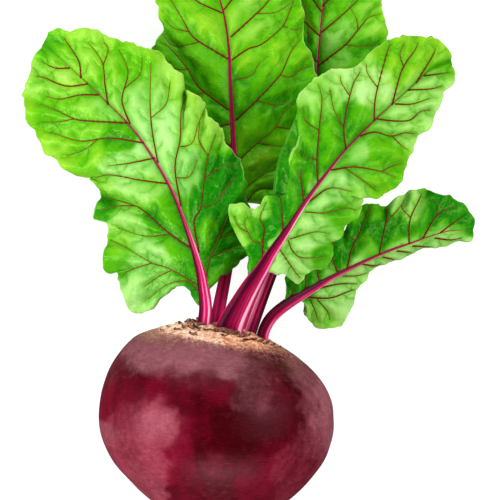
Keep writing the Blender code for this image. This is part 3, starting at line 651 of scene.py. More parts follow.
# Each stalk's route from inside the crown to its midrib's end, as across and down in the
# picture, height in millimetres and half width in millimetres. Tones run round the section
# from the right side (0) over the top (0.25) to the left (0.5): 0 is purple, 1 is pink and more
# than 1 a painted pale highlight. The blade begins at the reading that blade_from counts to.
STALKS = {
    "left_leaf": {
        "route": (
            (204, 338, 49, 2.7), (204, 326, 49.5, 2.7), (205.5, 308, 48.5, 2.5), (203, 285, 46, 2.2),
            (197, 258, 42, 1.8), (187, 228, 37.5, 1.5), (173, 192, 32.5, 1.2), (155, 160, 28, 1),
            (134, 130, 24, 0.8), (110, 105, 20, 0.65), (82, 78, 14.5, 0.5), (60, 58, 9.5, 0.4),
            (44, 43, 5, 0.1),
        ),
        "blade_from": 2,
        "tones": (
            (0, 0.5), (0.06, 0.85), (0.12, 0.75), (0.16, 1.15), (0.21, 0.72), (0.27, 0.9), (0.32, 0.35),
            (0.38, 0.05), (0.5, 0.1), (0.75, 0.5),
        ),
    },
    "centre_leaf": {
        "route": (
            (213.5, 339, 40.5, 2.4), (215.5, 327, 41, 2.5), (219.5, 305, 38, 2.5), (226, 272, 33, 2.3),
            (231, 240, 29, 2.1), (235, 208, 26, 2), (236, 180, 24.5, 1.9), (234, 150, 23, 1.7),
            (232, 115, 21.5, 1.4), (230.5, 85, 20.5, 1.2), (229, 50, 18.5, 1), (225, 20, 16, 0.85),
            (220, 0, 14, 0.75), (213, -25, 11, 0.6), (206, -48, 8, 0.45), (200, -80, 3, 0.1),
        ),
        "blade_from": 5,
        "tones": (
            (0, 0.15), (0.1, 0.5), (0.2, 0.62), (0.26, 0.3), (0.32, 0.6), (0.4, 0.4), (0.46, 0.1),
            (0.5, 0.05), (0.75, 0.4),
        ),
    },
    "back_leaf": {
        "route": (
            (247, 346, 39, 2.6), (249, 334, 39.5, 2.7), (256, 313, 36.5, 2.6), (265, 290, 32, 2.3),
            (276, 262, 27, 2), (288, 228, 21.5, 1.7), (299, 190, 16.5, 1.4), (308, 148, 12.5, 1.2),
            (314, 105, 10, 1), (317.5, 68, 9.5, 0.85), (320, 35, 10, 0.75), (323, 5, 9, 0.65),
            (326, -20, 7, 0.5), (329, -42, 5, 0.4), (333, -74, 1.5, 0.1),
        ),
        "blade_from": 7,
        "tones": (
            (0, 0.05), (0.1, 0.15), (0.16, 0.3), (0.2, 0.9), (0.24, 0.35), (0.3, 0.85), (0.35, 1.05),
            (0.40, 0.7), (0.47, 0.6), (0.75, 0.35),
        ),
    },
    "right_leaf": {
        "route": (
            (229, 341, 51, 5), (230, 327, 52.5, 5.2), (243, 300, 55.5, 4), (253, 283, 57.5, 3.4),
            (264, 266, 59, 2.6), (273, 251, 59.5, 2.2), (287, 230, 59, 1.8), (306, 201, 57, 1.4),
            (329, 170, 53, 1.15), (347, 148, 49.5, 0.9), (377, 118, 43, 0.7), (410, 88, 35, 0.5),
            (431, 69, 29, 0.4), (451, 61, 23, 0.1),
        ),
        "blade_from": 3,
        "tones": (
            (0, 0.7), (0.06, 0.72), (0.095, 1.3), (0.13, 1.2), (0.165, 0.5), (0.22, 0.55), (0.27, 0.35),
            (0.31, 0), (0.37, 0), (0.42, 0.35), (0.46, 0.55), (0.49, 0.8), (0.55, 0.5), (0.75, 0.4),
        ),
    },
    "low_leaf": {
        "route": (
            (262, 344, 45.5, 2.3), (263.5, 332, 46, 2.3), (271, 318, 46, 2.3), (285, 305.5, 45, 2.2),
            (305, 293, 42.5, 1.95), (325, 281, 40, 1.65), (347, 269.5, 37, 1.3), (370, 258.5, 33.5, 1),
            (390, 250, 30, 0.85), (410, 243, 26.5, 0.7), (430, 236, 22.5, 0.55), (450, 230.5, 18.5, 0.45),
            (473, 230, 12.5, 0.1),
        ),
        "blade_from": 3,
        "tones": (
            (0, 0.8), (0.05, 1.1), (0.1, 0.75), (0.15, 0.95), (0.2, 0.5), (0.27, 0.15), (0.4, 0.05),
            (0.5, 0.15), (0.75, 0.6),
        ),
    },
}


def plan(readings):
    """Points seen at pixels of the picture from straight above, at heights in millimetres."""
    across, down, height = np.moveaxis(np.asarray(readings, dtype=float)[..., :3], -1, 0)
    z = height * MM
    x = EYE[0] + (across - PICTURE_CENTRE_PX[0]) * pixel_at(z)
    y = EYE[1] + (PICTURE_CENTRE_PX[1] - down) * pixel_at(z)
    return np.stack((x, y, z), -1)


class Midrib:
    """The line of a stalk and its midrib. Stations run from 0 at the blade's foot to 1 at the
    tip and are negative down the stalk."""

    def __init__(self, route, blade_from):
        readings = np.array(route)
        points = np.column_stack((plan(readings), readings[:, 3] * MM))
        count = (len(points) - 1) * ROUTE_STEPS + 1
        self.curve = curve_at(points, np.arange(count) / ROUTE_STEPS)
        length = np.cumsum(np.linalg.norm(np.diff(self.curve[:, :3], axis=0), axis=1))
        length = np.concatenate(((0,), length))
        foot = length[blade_from * ROUTE_STEPS]
        self.stations = (length - foot) / (length[-1] - foot)

    def at(self, stations):
        """x, y, z and half width at each station."""
        return np.stack([np.interp(stations, self.stations, row) for row in self.curve.T], -1)

    def along(self, stations):
        """The way that the line runs at each station."""
        return unit(self.at(stations + 0.02)[..., :3] - self.at(stations - 0.02)[..., :3])

    def edge(self, stations, side):
        """Where the blade leaves the midrib's flesh, on one side."""
        here = self.at(stations)
        across = unit(np.cross(self.along(stations), UP))
        return here[..., :3] + across * side * here[..., 3:] * SPRING_SHARE


def stalk_section(turns):
    """A flattened circle with two waves of fine ribs, whose top sinks into a channel as a power
    of its height."""
    ribbing = 1 + 0.022 * np.cos(13 * turns) + 0.012 * np.cos(29 * turns + 1)
    channel = 1 - CHANNEL_DEPTH * np.clip(np.sin(turns), 0, 1) ** 5
    return ribbing * np.cos(turns), ribbing * channel * np.sin(turns) * STALK_FLATNESS


def stalk_skin():
    """Satin crimson with purple and pink stripes along the stalk and a painted pale highlight, from
    its own tone.
    """
    paint = Paint("crimson_stalk", Specular_IOR_Level=0.14, Specular_Tint=(1, 0.6, 0.75, 1))
    around, along, tone, thin = paint.attributes("around", "along", "tone", "thinness")
    lengthwise = paint.node("ShaderNodeCombineXYZ", {}, {0: around * 44, 1: along * 5})
    fibre = paint.noise(1, 4, 0.6, lengthwise)
    grain = paint.noise(1400, 2)
    tone = tone + fibre.swing(0.9)
    colour = STALK_PURPLE
    for low, high, next_colour in STALK_COLOURS:
        colour = paint.mix(tone.ease(low, high), colour, next_colour)
    colour = paint.mix(thin * 0.6, colour, THIN_MIDRIB)
    return paint.finish(colour, 0.30 + grain * 0.12, grain * 0.5 + fibre, 0.35, 0.0003)


stalk_look = stalk_skin()
ribs = {}
for name, leaf in STALKS.items():
    rib = Midrib(leaf["route"], leaf["blade_from"])
    ribs[name] = rib
    stations = np.linspace(rib.stations[0], 1, STALK_RINGS)
    spine = rib.at(stations)
    spine[:, 3] *= 1 - MIDRIB_SLIMMING * ease(stations, 0, 0.35)
    grid = swept_grid(spine, STALK_SIDES, stalk_section)
    turns = np.arange(STALK_SIDES) / STALK_SIDES
    length = np.linspace(0, 1, STALK_RINGS)[:, None]
    angles, tones = np.array(leaf["tones"]).T
    angle = turns * 2 * math.pi
    stripe = np.stack(np.broadcast_arrays(np.cos(angle), np.sin(angle), 2.5 * length), -1)
    tone = np.interp(turns, angles, tones, period=1) + TONE_WAVER * rough(stripe, 0.16, 7)
    thinness = 1 - ease(spine[:, 3], *THIN_FADE)[:, None]
    marks = {"tone": tone, "thinness": thinness, "around": (turns + 0.25) % 1, "along": length}
    stalk = new_piece(f"{name}_stalk_flesh", grid,
                      capped_faces(STALK_RINGS, STALK_SIDES, 0, flip=True), stalk_look, marks)
    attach(stalk, "root")
    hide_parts(f"{name}_stalk")


# The blades: thin waxy leaves, puckered between the veins and waved along their cut edges.
# Each half hangs from its side of the midrib; the right leaf's left half has a tucked pleat.
ROWS_PER_POINT = 9
COLUMNS = 54
PLEAT_COLUMNS = 14
# How often the margin is smoothed for the rows' main form, and how far a row arches up and
# sweeps back, as shares of its length
CALMINGS = 5
ARCH = 0.11
SWEEP = 0.10
PLEAT_TUCK = 5 * MM
BLADE_THICKNESS = 0.45 * MM
TABLE_CLEARANCE = 0.35 * MM
# The blade's rise between main veins and between twigs, and how far off them it is full
QUILT = 2.4 * MM
QUILT_REACH = 4.5 * MM
PUCKER = 0.45 * MM
PUCKER_REACH = 1.6 * MM
# The size of the blade's cells, and how much of the box round it a half fills
CELL_AREA = 30 * MM * MM
BOX_SHARE = 0.6
CELL_FADE = 5 * MM
# Smooth noise on it: height and size in millimetres
SWELL = (0.9, 14)
WRINKLE = (0.10, 2.6)
# How the columns crowd to the edge, and how late along a row the margin's waves set in
EDGE_CROWDING = 1.35
WAVE_POWER = 2.4
# The edge's fine waves in and out and up and down: height and size in mm, and a seed
TEETH = ((0.8, 1.8, 31), (0.45, 4.2, 32))
TEETH_POWER = 9
RUFFLES = ((0.5, 2.6, 33), (0.9, 6, 34))
RUFFLE_POWER = 6
# Rows shorter than this have weaker teeth, and pleats narrower than this a smaller tuck
SHORT_ROW = 5 * MM
FULL_TUCK = 6 * MM
# Where along a row the tucked strip counts as lying, and where the rim begins to thin
UNDER_RIM = 0.9
RIM_FROM = 0.985
RIM_THINNING = 0.85
# Each half begins at a station of the midrib. Each point of its edge is the station of its row,
# across and down in the picture, and height in millimetres. A pleat's tuck comes out again at
# its own reading.
MARGINS = {
    "left_leaf": {
        "left": (0, (
            (0.02, 197, 303, 46), (0.035, 191, 291, 44), (0.055, 184, 283.5, 41), (0.09, 176, 284.5, 38),
            (0.13, 166, 291, 34), (0.17, 156, 302, 31), (0.20, 148, 311.5, 29), (0.205, 133, 311.5, 25),
            (0.21, 122.5, 292, 26), (0.213, 117, 273, 20), (0.216, 106.5, 268, 18), (0.22, 106, 253, 21),
            (0.225, 108, 238, 15), (0.23, 109, 225, 17), (0.235, 94, 217, 10), (0.245, 98, 205, 14),
            (0.27, 100, 190, 10), (0.32, 90, 179, 14), (0.405, 77, 173, 8), (0.46, 61, 165, 11),
            (0.51, 48.5, 153.5, 6), (0.565, 39.5, 138.5, 8), (0.61, 31, 127, 3.5), (0.65, 25, 110, 6),
            (0.71, 24, 96, 2), (0.77, 29, 80, 5), (0.82, 32, 66, 1.5), (0.88, 38, 53, 5), (0.93, 42, 47, 4),
        )),
        "right": (0.05, (
            (0.065, 212, 283.5, 45), (0.085, 221, 276, 43.5), (0.105, 231, 269, 41), (0.12, 241, 259, 38.5),
            (0.13, 252, 247.5, 38), (0.14, 255, 232, 33), (0.145, 252, 214, 35), (0.15, 243, 197, 36),
            (0.158, 246, 178, 39), (0.166, 240, 161, 35), (0.175, 229, 148, 37), (0.185, 222, 130, 31),
            (0.22, 210, 118, 35), (0.26, 205, 103, 30), (0.30, 193, 94, 33), (0.335, 183, 86, 27),
            (0.38, 179, 72, 30), (0.44, 165, 58, 25), (0.50, 150.5, 50, 26), (0.57, 133, 44, 21),
            (0.635, 116, 39.5, 19.5), (0.69, 101, 32.5, 16.5), (0.73, 86, 28.5, 15.5), (0.79, 72, 30, 12.5),
            (0.85, 60, 29, 9.5), (0.90, 51, 33, 7.5), (0.93, 47, 37, 6),
        )),
    },
    "centre_leaf": {
        "left": (0, (
            (0.01, 212, 213, 22), (0.03, 196, 203, 23), (0.06, 183, 189, 17), (0.10, 172, 170, 19),
            (0.15, 163, 148, 14), (0.20, 157, 124, 15.5), (0.25, 152, 100, 12), (0.28, 150, 78, 14),
            (0.31, 151, 60, 10.5), (0.34, 155, 42, 12), (0.38, 164, 29, 9), (0.42, 160, 16, 10.5),
            (0.47, 157, 1, 7), (0.52, 157, -14, 8.5), (0.59, 160, -30, 5), (0.67, 166, -46, 6),
            (0.76, 175, -60, 3), (0.83, 184, -70, 3.5), (0.89, 190, -77, 2), (0.93, 194, -79.5, 2),
        )),
        "right": (0.015, (
            (0.025, 249, 202, 23), (0.03, 264, 201.5, 22), (0.035, 279, 198, 24), (0.045, 292, 184, 20),
            (0.06, 300, 165, 22), (0.09, 307, 145, 18.5), (0.12, 313, 122, 21), (0.145, 317, 100, 18),
            (0.17, 317, 79, 20.5), (0.22, 312, 59, 17.5), (0.27, 305, 43, 20), (0.315, 303, 26, 16),
            (0.38, 303, 9, 18), (0.445, 300, -6, 13), (0.51, 294, -22, 14), (0.55, 286, -37, 9.5),
            (0.59, 274, -49, 10.5), (0.66, 259, -60, 6), (0.74, 243, -69, 6), (0.82, 227, -76, 3),
            (0.88, 214, -80, 3.5), (0.93, 207, -81.5, 2.5),
        )),
    },
    "back_leaf": {
        "left": (0, (
            (0.04, 286, 143, 8), (0.09, 276, 126, 8), (0.15, 269, 106, 4.5), (0.21, 265, 84, 6),
            (0.28, 263, 62, 2.5), (0.35, 264, 40, 4.5), (0.42, 268, 19, 1.5), (0.49, 274, 0, 3.5),
            (0.56, 281, -17, 1), (0.64, 290, -33, 2.5), (0.72, 301, -47, 0.8), (0.80, 312, -59, 1.5),
            (0.87, 322, -68, 0.8), (0.93, 328, -73, 1),
        )),
        "right": (0, (
            (0.03, 334, 146, 10), (0.07, 349, 133, 12), (0.12, 362, 115, 9), (0.17, 372, 95, 12),
            (0.23, 380, 74, 9), (0.29, 385, 54, 12.5), (0.34, 387, 36, 9), (0.375, 384, 18, 11.5),
            (0.43, 382, 4, 7.5), (0.48, 378, -10, 10), (0.53, 373, -24, 5.5), (0.60, 365, -37, 7),
            (0.68, 358, -50, 3), (0.77, 349, -61, 3.5), (0.86, 342, -69, 1), (0.93, 337, -73, 1.5),
        )),
    },
    "right_leaf": {
        "left": (0, (
            (0.03, 250.5, 261, 57), (0.05, 252, 248, 56.5), (0.06, 242.5, 237, 54), (0.065, 233, 226, 51),
            (0.07, 229, 214, 51.5), (0.075, 230, 205, 49.5), (0.08, 240, 203, 52), (0.085, 249, 209, 50),
            (0.09, 259, 208, 52), (0.10, 266, 197, 51), (0.14, 284, 197, 54), (0.18, 299, 186, 57),
            (0.21, 291, 160, 57), (0.25, 297, 146, 55), (0.29, 303, 127, 52), (0.325, 298, 108, 48),
            (0.35, 299, 95, 47), (0.37, 308, 86, 44), (0.385, 319, 76, 46), (0.40, 331, 71, 42),
            (0.47, 347, 70, 43.5), (0.545, 361, 63, 39), (0.61, 371, 52, 40), (0.68, 384, 42, 36),
            (0.72, 397, 37.5, 37), (0.76, 410, 35.5, 32.5), (0.81, 424, 37, 33), (0.86, 438, 40.5, 28.5),
            (0.91, 448, 50, 26.5), (0.93, 450, 56, 25),
        )),
        "right": (0.05, (
            (0.07, 280, 268, 57), (0.09, 287, 278, 54), (0.11, 299, 283, 50), (0.13, 309, 272, 52),
            (0.15, 321, 269, 47.5), (0.17, 331, 257, 50), (0.19, 330, 244, 47), (0.21, 341, 234, 50),
            (0.24, 348, 222, 46), (0.27, 357, 216, 48.5), (0.30, 362, 202, 45), (0.325, 356, 190, 47),
            (0.34, 366, 193, 44), (0.37, 379, 197.5, 46.5), (0.41, 393, 189, 41), (0.45, 403.5, 177, 43.5),
            (0.50, 406, 161.5, 39), (0.555, 413, 149, 41), (0.61, 419, 134, 36), (0.65, 431, 125, 37.5),
            (0.69, 436.5, 112, 32), (0.75, 442.5, 100, 33), (0.80, 446.5, 90, 28),
            (0.84, 452.5, 81.5, 28.5), (0.89, 454, 71, 25), (0.93, 453, 66, 24.5),
        )),
    },
    "low_leaf": {
        "left": (0, (
            (0.02, 284.5, 290, 44.5), (0.04, 286.5, 277, 41), (0.07, 295.5, 264, 42), (0.11, 305, 251, 38),
            (0.17, 316, 242, 40), (0.24, 326, 235, 36), (0.31, 336, 233, 38), (0.325, 346, 229, 34),
            (0.335, 354, 216, 35.5), (0.35, 362, 206, 31), (0.41, 375, 203, 32.5), (0.47, 385, 206, 28),
            (0.52, 396, 199, 29), (0.58, 405, 194, 25), (0.63, 414, 190, 26), (0.67, 424, 190, 21.5),
            (0.71, 434.5, 194, 22), (0.75, 448, 196, 18), (0.81, 459.5, 202, 17.5), (0.87, 468, 211, 14),
            (0.93, 473.5, 221.5, 13),
        )),
        "right": (0.07, (
            (0.085, 306, 305, 40), (0.10, 306, 315, 35), (0.11, 313, 324, 27), (0.125, 326, 328, 23),
            (0.14, 339, 325, 17), (0.155, 346, 314, 20), (0.17, 353, 303, 15.5), (0.20, 357, 289, 18),
            (0.26, 366, 280, 13), (0.31, 370, 271, 14), (0.36, 378, 266, 9), (0.44, 388, 262, 9.5),
            (0.52, 398, 259, 5), (0.60, 411, 254, 5), (0.66, 422, 248, 1.5), (0.72, 434, 247, 2.5),
            (0.79, 447, 245, 1), (0.84, 457, 241, 3), (0.89, 467, 241, 5.5), (0.93, 473, 236, 9),
        )),
    },
}
PLEATS = {
    ("right_leaf", "left"): {
        11: (274, 194, 50), 12: (277, 166, 49), 13: (284, 145, 47), 14: (293, 125, 46),
    },
}
# The main side veins, each as across and down in the picture from the midrib to the edge.
VEINS = {
    "left_leaf": (
        ((200, 292), (185, 281), (166, 285), (148, 299)),
        ((198, 285), (170, 269), (150, 262), (125, 247), (110, 240)), ((152, 263), (130, 270), (122, 276)),
        ((172, 270), (158, 277), (145, 286)),
        ((194, 250), (170, 234), (145, 212), (133, 205), (112, 199), (104, 197)),
        ((170, 234), (145, 236), (118, 228)), ((135, 206), (118, 206), (102, 210)),
        ((169, 184), (140, 180), (110, 175), (95, 178)), ((155, 158), (130, 163), (108, 166)),
        ((144, 143), (110, 138), (80, 141), (50, 132)), ((98, 139), (84, 150), (66, 156)),
        ((127, 123), (90, 121), (75, 119), (60, 112), (40, 104)), ((74, 119), (58, 122), (42, 122)),
        ((99, 95), (80, 95), (60, 99), (45, 96)), ((88, 84), (66, 86), (45, 78), (36, 76)),
        ((70, 68), (55, 68), (42, 62)), ((206, 278), (210, 258), (218, 240), (230, 212), (238, 202)),
        ((211, 257), (225, 251), (247, 246)), ((219, 238), (235, 232), (248, 228)),
        ((199, 252), (194, 222), (201, 206), (206, 165), (212, 145), (216, 134)),
        ((201, 207), (215, 203), (228, 185), (238, 178)), ((205, 178), (220, 168), (232, 162)),
        ((208, 156), (199, 140), (200, 122)), ((181, 206), (175, 168), (180, 140), (181, 112), (186, 97)),
        ((176, 178), (190, 176), (197, 160)), ((179, 147), (192, 143), (198, 125), (203, 113)),
        ((158, 163), (152, 130), (150, 100), (151, 62)), ((151, 118), (166, 104), (170, 82)),
        ((130, 124), (122, 100), (128, 72), (119, 50)), ((125, 88), (140, 74), (142, 58)),
        ((108, 105), (105, 85), (102, 62), (88, 42)), ((103, 66), (108, 50), (104, 42)),
        ((81, 78), (79, 62), (70, 47), (64, 38)),
    ),
    "centre_leaf": (
        ((234, 196), (212, 196), (196, 200)), ((236, 172), (210, 166), (186, 176)),
        ((234, 148), (205, 132), (176, 140)), ((229, 124), (216, 125), (190, 112), (166, 112)),
        ((229, 110), (200, 88), (187, 68), (170, 48), (160, 42)), ((205, 92), (190, 95), (164, 84)),
        ((188, 69), (178, 69), (158, 62)),
        ((228, 59), (200, 42), (190, 33), (183, 20), (172, 2), (166, -6)),
        ((200, 42), (175, 46), (164, 36)), ((190, 32), (174, 28), (165, 20)),
        ((222, 13), (195, 0), (172, -22)), ((216, -14), (196, -28), (178, -44)),
        ((209, -40), (194, -54), (184, -62)), ((242, 191), (262, 175), (275, 170), (292, 168)),
        ((246, 203), (258, 189), (273, 188), (288, 184)),
        ((239, 160), (255, 145), (275, 128), (282, 115), (297, 100), (310, 92)),
        ((276, 127), (292, 128), (306, 122)), ((258, 143), (280, 146), (300, 144)),
        ((236, 120), (257, 100), (280, 75), (288, 58), (294, 47), (300, 40)),
        ((257, 101), (278, 105), (290, 98)), ((280, 75), (290, 77), (300, 70), (312, 66)),
        ((235, 80), (252, 75), (258, 65), (268, 56)),
        ((232, 60), (248, 49), (262, 44), (282, 27), (290, 10), (294, 0)),
        ((283, 26), (295, 30), (302, 28)), ((231, 37), (255, 15), (265, 5), (278, -12), (286, -28)),
        ((224, 10), (244, -16), (262, -40)), ((256, 14), (276, 12), (292, 2)),
        ((217, -14), (232, -40), (246, -60)), ((210, -42), (220, -62), (226, -70)),
    ),
    "back_leaf": (
        ((309, 143), (292, 128), (280, 122)), ((312, 118), (290, 98), (272, 92)),
        ((315, 92), (292, 70), (268, 64)), ((318, 66), (345, 45), (358, 30), (368, 18), (380, 14)),
        ((309, 43), (308, 25), (303, 0), (296, -16)), ((318, 62), (300, 48), (282, 44), (268, 36)),
        ((322, 32), (340, 17), (355, 3), (368, -10)), ((320, 36), (300, 18), (280, 6)),
        ((323, 6), (340, -14), (352, -32)), ((322, 12), (306, -10), (292, -26)),
        ((327, -24), (338, -44), (344, -56)), ((325, -16), (314, -36), (306, -48)),
        ((345, 45), (362, 46), (378, 44)), ((358, 30), (356, 18), (350, 8)),
        ((311, 130), (334, 112), (352, 112)), ((315, 100), (340, 84), (368, 84)),
    ),
    "right_leaf": (
        ((262, 270), (263, 240), (264, 228), (260, 218), (266, 202)),
        ((263, 242), (254, 242), (247, 230), (244, 222), (248, 217)), ((247, 232), (238, 226), (234, 216)),
        ((283, 236), (282, 215), (280, 198)), ((304, 205), (301, 180), (300, 170)),
        ((318, 186), (317, 160), (319, 130), (322, 100), (318, 84)), ((317, 160), (305, 156), (300, 152)),
        ((318, 130), (305, 120), (303, 106)), ((346, 150), (344, 125), (352, 88), (360, 72)),
        ((344, 128), (334, 110), (330, 90)), ((350, 96), (342, 84), (340, 76)),
        ((374, 121), (376, 95), (388, 50), (392, 44)), ((378, 88), (368, 74), (366, 64)),
        ((392, 105), (402, 70), (415, 50), (418, 42)), ((404, 68), (400, 54), (404, 44)),
        ((416, 83), (432, 57), (436, 48)), ((280, 250), (294, 270), (300, 278)),
        ((288, 240), (292, 250), (300, 257), (315, 258), (326, 256)), ((290, 239), (315, 232), (330, 234)),
        ((305, 212), (325, 213), (345, 208), (356, 210)), ((310, 201), (325, 190), (336, 188), (352, 192)),
        ((331, 170), (355, 167), (383, 172), (396, 178)), ((382, 171), (392, 166), (402, 163)),
        ((345, 168), (362, 180), (376, 190)), ((360, 136), (375, 132), (390, 136), (405, 133), (414, 134)),
        ((377, 119), (395, 121), (410, 120), (420, 112), (430, 110)), ((392, 136), (402, 146), (408, 150)),
        ((395, 104), (412, 104), (430, 98)), ((408, 90), (430, 89), (442, 86)),
        ((424, 76), (438, 74), (450, 72)),
    ),
    "low_leaf": (
        ((288, 303), (293, 290), (292, 280)), ((304, 294), (306, 280), (304, 262)),
        ((320, 284), (316, 264), (318, 248)), ((338, 274), (332, 255), (335, 238)),
        ((347, 269), (352, 248), (360, 232), (368, 212), (370, 206)), ((356, 240), (347, 238), (345, 232)),
        ((379, 255), (387, 215), (385, 208)), ((386, 222), (396, 212), (403, 203)),
        ((409, 244), (410, 220), (420, 198), (422, 193)), ((411, 218), (402, 208), (404, 200)),
        ((423, 238), (435, 218), (445, 210), (454, 206)), ((436, 217), (438, 206), (434, 199)),
        ((440, 233), (452, 224), (464, 217)), ((305, 297), (330, 298), (350, 291), (355, 290)),
        ((317, 299), (328, 312), (330, 320)), ((310, 299), (315, 310), (318, 320)),
        ((320, 288), (340, 284), (358, 284)), ((343, 276), (356, 276), (368, 273)),
        ((383, 257), (395, 260)), ((397, 251), (412, 253)), ((413, 246), (430, 247)),
        ((435, 238), (450, 240), (462, 238)), ((362, 264), (374, 266), (380, 264)),
    ),
}
VEIN_STEP_PX = 1.6
MAIN_VEIN_RADIUS = 0.37 * MM
FORK_RADIUS = 0.23 * MM
TWIG_RADIUS = 0.085 * MM
TWIG_SPACING_PX = 11
TWIG_REACH_PX = (9, 20)
# From how near the midrib a vein is a main one
AT_RIB_PX = 4


def vein_line(vein):
    """A smooth line through a vein's readings, in steps of about VEIN_STEP_PX."""
    readings = np.array(vein, dtype=float)
    length = np.linalg.norm(np.diff(readings, axis=0), axis=1).sum()
    steps = max(4, int(length / VEIN_STEP_PX))
    return curve_at(readings, np.linspace(0, len(readings) - 1, steps + 1))


def twig_lines(line, random):
    """Side twigs of a vein: they leave it on alternate sides at about 45 degrees and bend
    forward as they go."""
    steps = np.diff(line, axis=0)
    length = np.linalg.norm(steps, axis=1).sum()
    side = random.choice((-1, 1))
    twigs = []
    for share in np.arange(0.12, 0.97, TWIG_SPACING_PX / length):
        index = int((share + random.uniform(-0.03, 0.03)) * (len(steps) - 1))
        ahead = steps[index] / np.linalg.norm(steps[index])
        beside = np.array((-ahead[1], ahead[0])) * side
        reach = random.uniform(*TWIG_REACH_PX)
        bend = random.uniform(0.1, 0.6)
        sway = random.uniform(-0.12, 0.12)
        t = np.linspace(0, 1, 12)[:, None]
        out = t * (1 - 0.35 * t) + sway * np.sin(2 * math.pi * t)
        twigs.append(line[index] + reach * (beside * out + ahead * (0.35 * t + bend * t ** 2)))
        side = -side
    return twigs


def vein_runs(name, seed):
    """Each vein and twig of a leaf as a line in the picture and its radius along it: thickest
    where it leaves the midrib, thinner where it forks from another."""
    random = np.random.default_rng(seed)
    rib_line = unplan(ribs[name].curve[:, :3])
    runs = []
    for vein in VEINS[name]:
        line = vein_line(vein)
        rib_gap = np.linalg.norm(rib_line - line[0], axis=1).min()
        thick = MAIN_VEIN_RADIUS if rib_gap < AT_RIB_PX else FORK_RADIUS
        runs.append((line, np.linspace(thick, TWIG_RADIUS * 1.5, len(line))))
        for twig in twig_lines(line, random):
            runs.append((twig, np.linspace(TWIG_RADIUS, TWIG_RADIUS * 0.4, len(twig))))
    return runs


def nearest(points, others, keep=1):
    """Distances from each point to its nearest others, worked out in blocks."""
    found = []
    for block in np.array_split(points, max(1, len(points) // 3000)):
        apart = np.linalg.norm(block[:, None, :] - others[None, :, :], axis=-1)
        found.append(np.sort(np.partition(apart, keep, axis=1)[:, :keep], axis=1))
    return np.vstack(found)


def bezier(start, middle, end, share):
    """The parabola from start to end that leaves each towards the middle."""
    return start * (1 - share) ** 2 + middle * 2 * share * (1 - share) + end * share ** 2


def pleated(grid, out, inner, ends, q, pleats):
    """Adds columns past the edge: each row's is a parabola that turns in under the edge and out
    again to the pleat's reading, and it shrinks to nothing beside the pleat."""
    shift = np.zeros_like(ends)
    for index, reading in pleats.items():
        shift[index + 1] = plan(reading) - ends[index + 1]
    shift = curve_at(shift, q)[:, None, :]
    tuck = PLEAT_TUCK * np.clip(np.linalg.norm(shift, axis=-1, keepdims=True) / FULL_TUCK, 0, 1)
    outer = grid[:, -1:]
    turn = outer + shift * (0, 0, 1) + unit(inner - outer) * tuck
    share = np.linspace(0, 1, PLEAT_COLUMNS + 1)[None, 1:, None]
    grid = np.concatenate((grid, bezier(outer, turn, outer + shift, share)), axis=1)
    return grid, np.concatenate((out, np.where(share < 1, UNDER_RIM, 1)), axis=1)


def half_blade(rib, start, points, tip, side, pleats):
    """Rows from the midrib to the edge: each is a parabola between its station's edge of the
    flesh and the calmed margin, drawn back along the midrib and arched up in proportion to its
    length. The margin's waves, and the edge's fine teeth, join in as powers of the share of the
    row. Gives the grid, and how far out each column lies."""
    points = np.array(points)
    stations = np.concatenate(((start,), points[:, 0], (1,)))
    first = rib.edge(np.array([start]), side)
    ends = np.vstack((first, plan(points[:, 1:]), plan([tip])))
    calm = ends.copy()
    for _ in range(CALMINGS):
        calm[1:-1] = (calm[:-2] + 2 * calm[1:-1] + calm[2:]) / 4
    q = np.linspace(0, len(stations) - 1, (len(stations) - 1) * ROWS_PER_POINT + 1)
    station = np.clip(np.maximum.accumulate(curve_at(stations[:, None], q)[:, 0]), start, 1)
    outer = curve_at(ends, q)[:, None, :]
    calm = curve_at(calm, q)[:, None, :]
    inner = rib.edge(station, side)[:, None, :]
    length = np.linalg.norm(calm - inner, axis=-1, keepdims=True)
    along = rib.along(station)[:, None, :]
    middle = (inner + calm) / 2 - along * SWEEP * length + UP * ARCH * length
    t = np.linspace(0, 1, COLUMNS)
    out = (1 - (1 - t) ** EDGE_CROWDING)[None, :, None]
    grid = bezier(inner, middle, calm, out) + (outer - calm) * out ** WAVE_POWER
    travel = np.cumsum(np.linalg.norm(np.diff(outer[:, 0], axis=0, prepend=outer[:1, 0]), axis=1))
    edge = np.stack(np.broadcast_arrays(travel, side, outer[0, 0, 0]), -1)
    fade = np.clip(length[:, 0, 0] / SHORT_ROW, 0, 1)[:, None, None]
    teeth = relief(edge, TEETH)[:, None, None] * fade
    ruffle = relief(edge, RUFFLES)[:, None, None] * fade
    grid = grid + unit(outer - inner) * teeth * out ** TEETH_POWER
    grid = grid + UP * ruffle * out ** RUFFLE_POWER
    if pleats:
        grid, out = pleated(grid, out, inner, ends, q, pleats)
    return grid, np.broadcast_to(out[..., 0], grid.shape[:2])


def steady_normals(grid, side):
    """The grid's upper normals, taken from the next rows where a row has shrunk to a point."""
    normals = grid_normals(grid) * side
    normals[0] = normals[1]
    normals[-1] = normals[-2]
    return normals


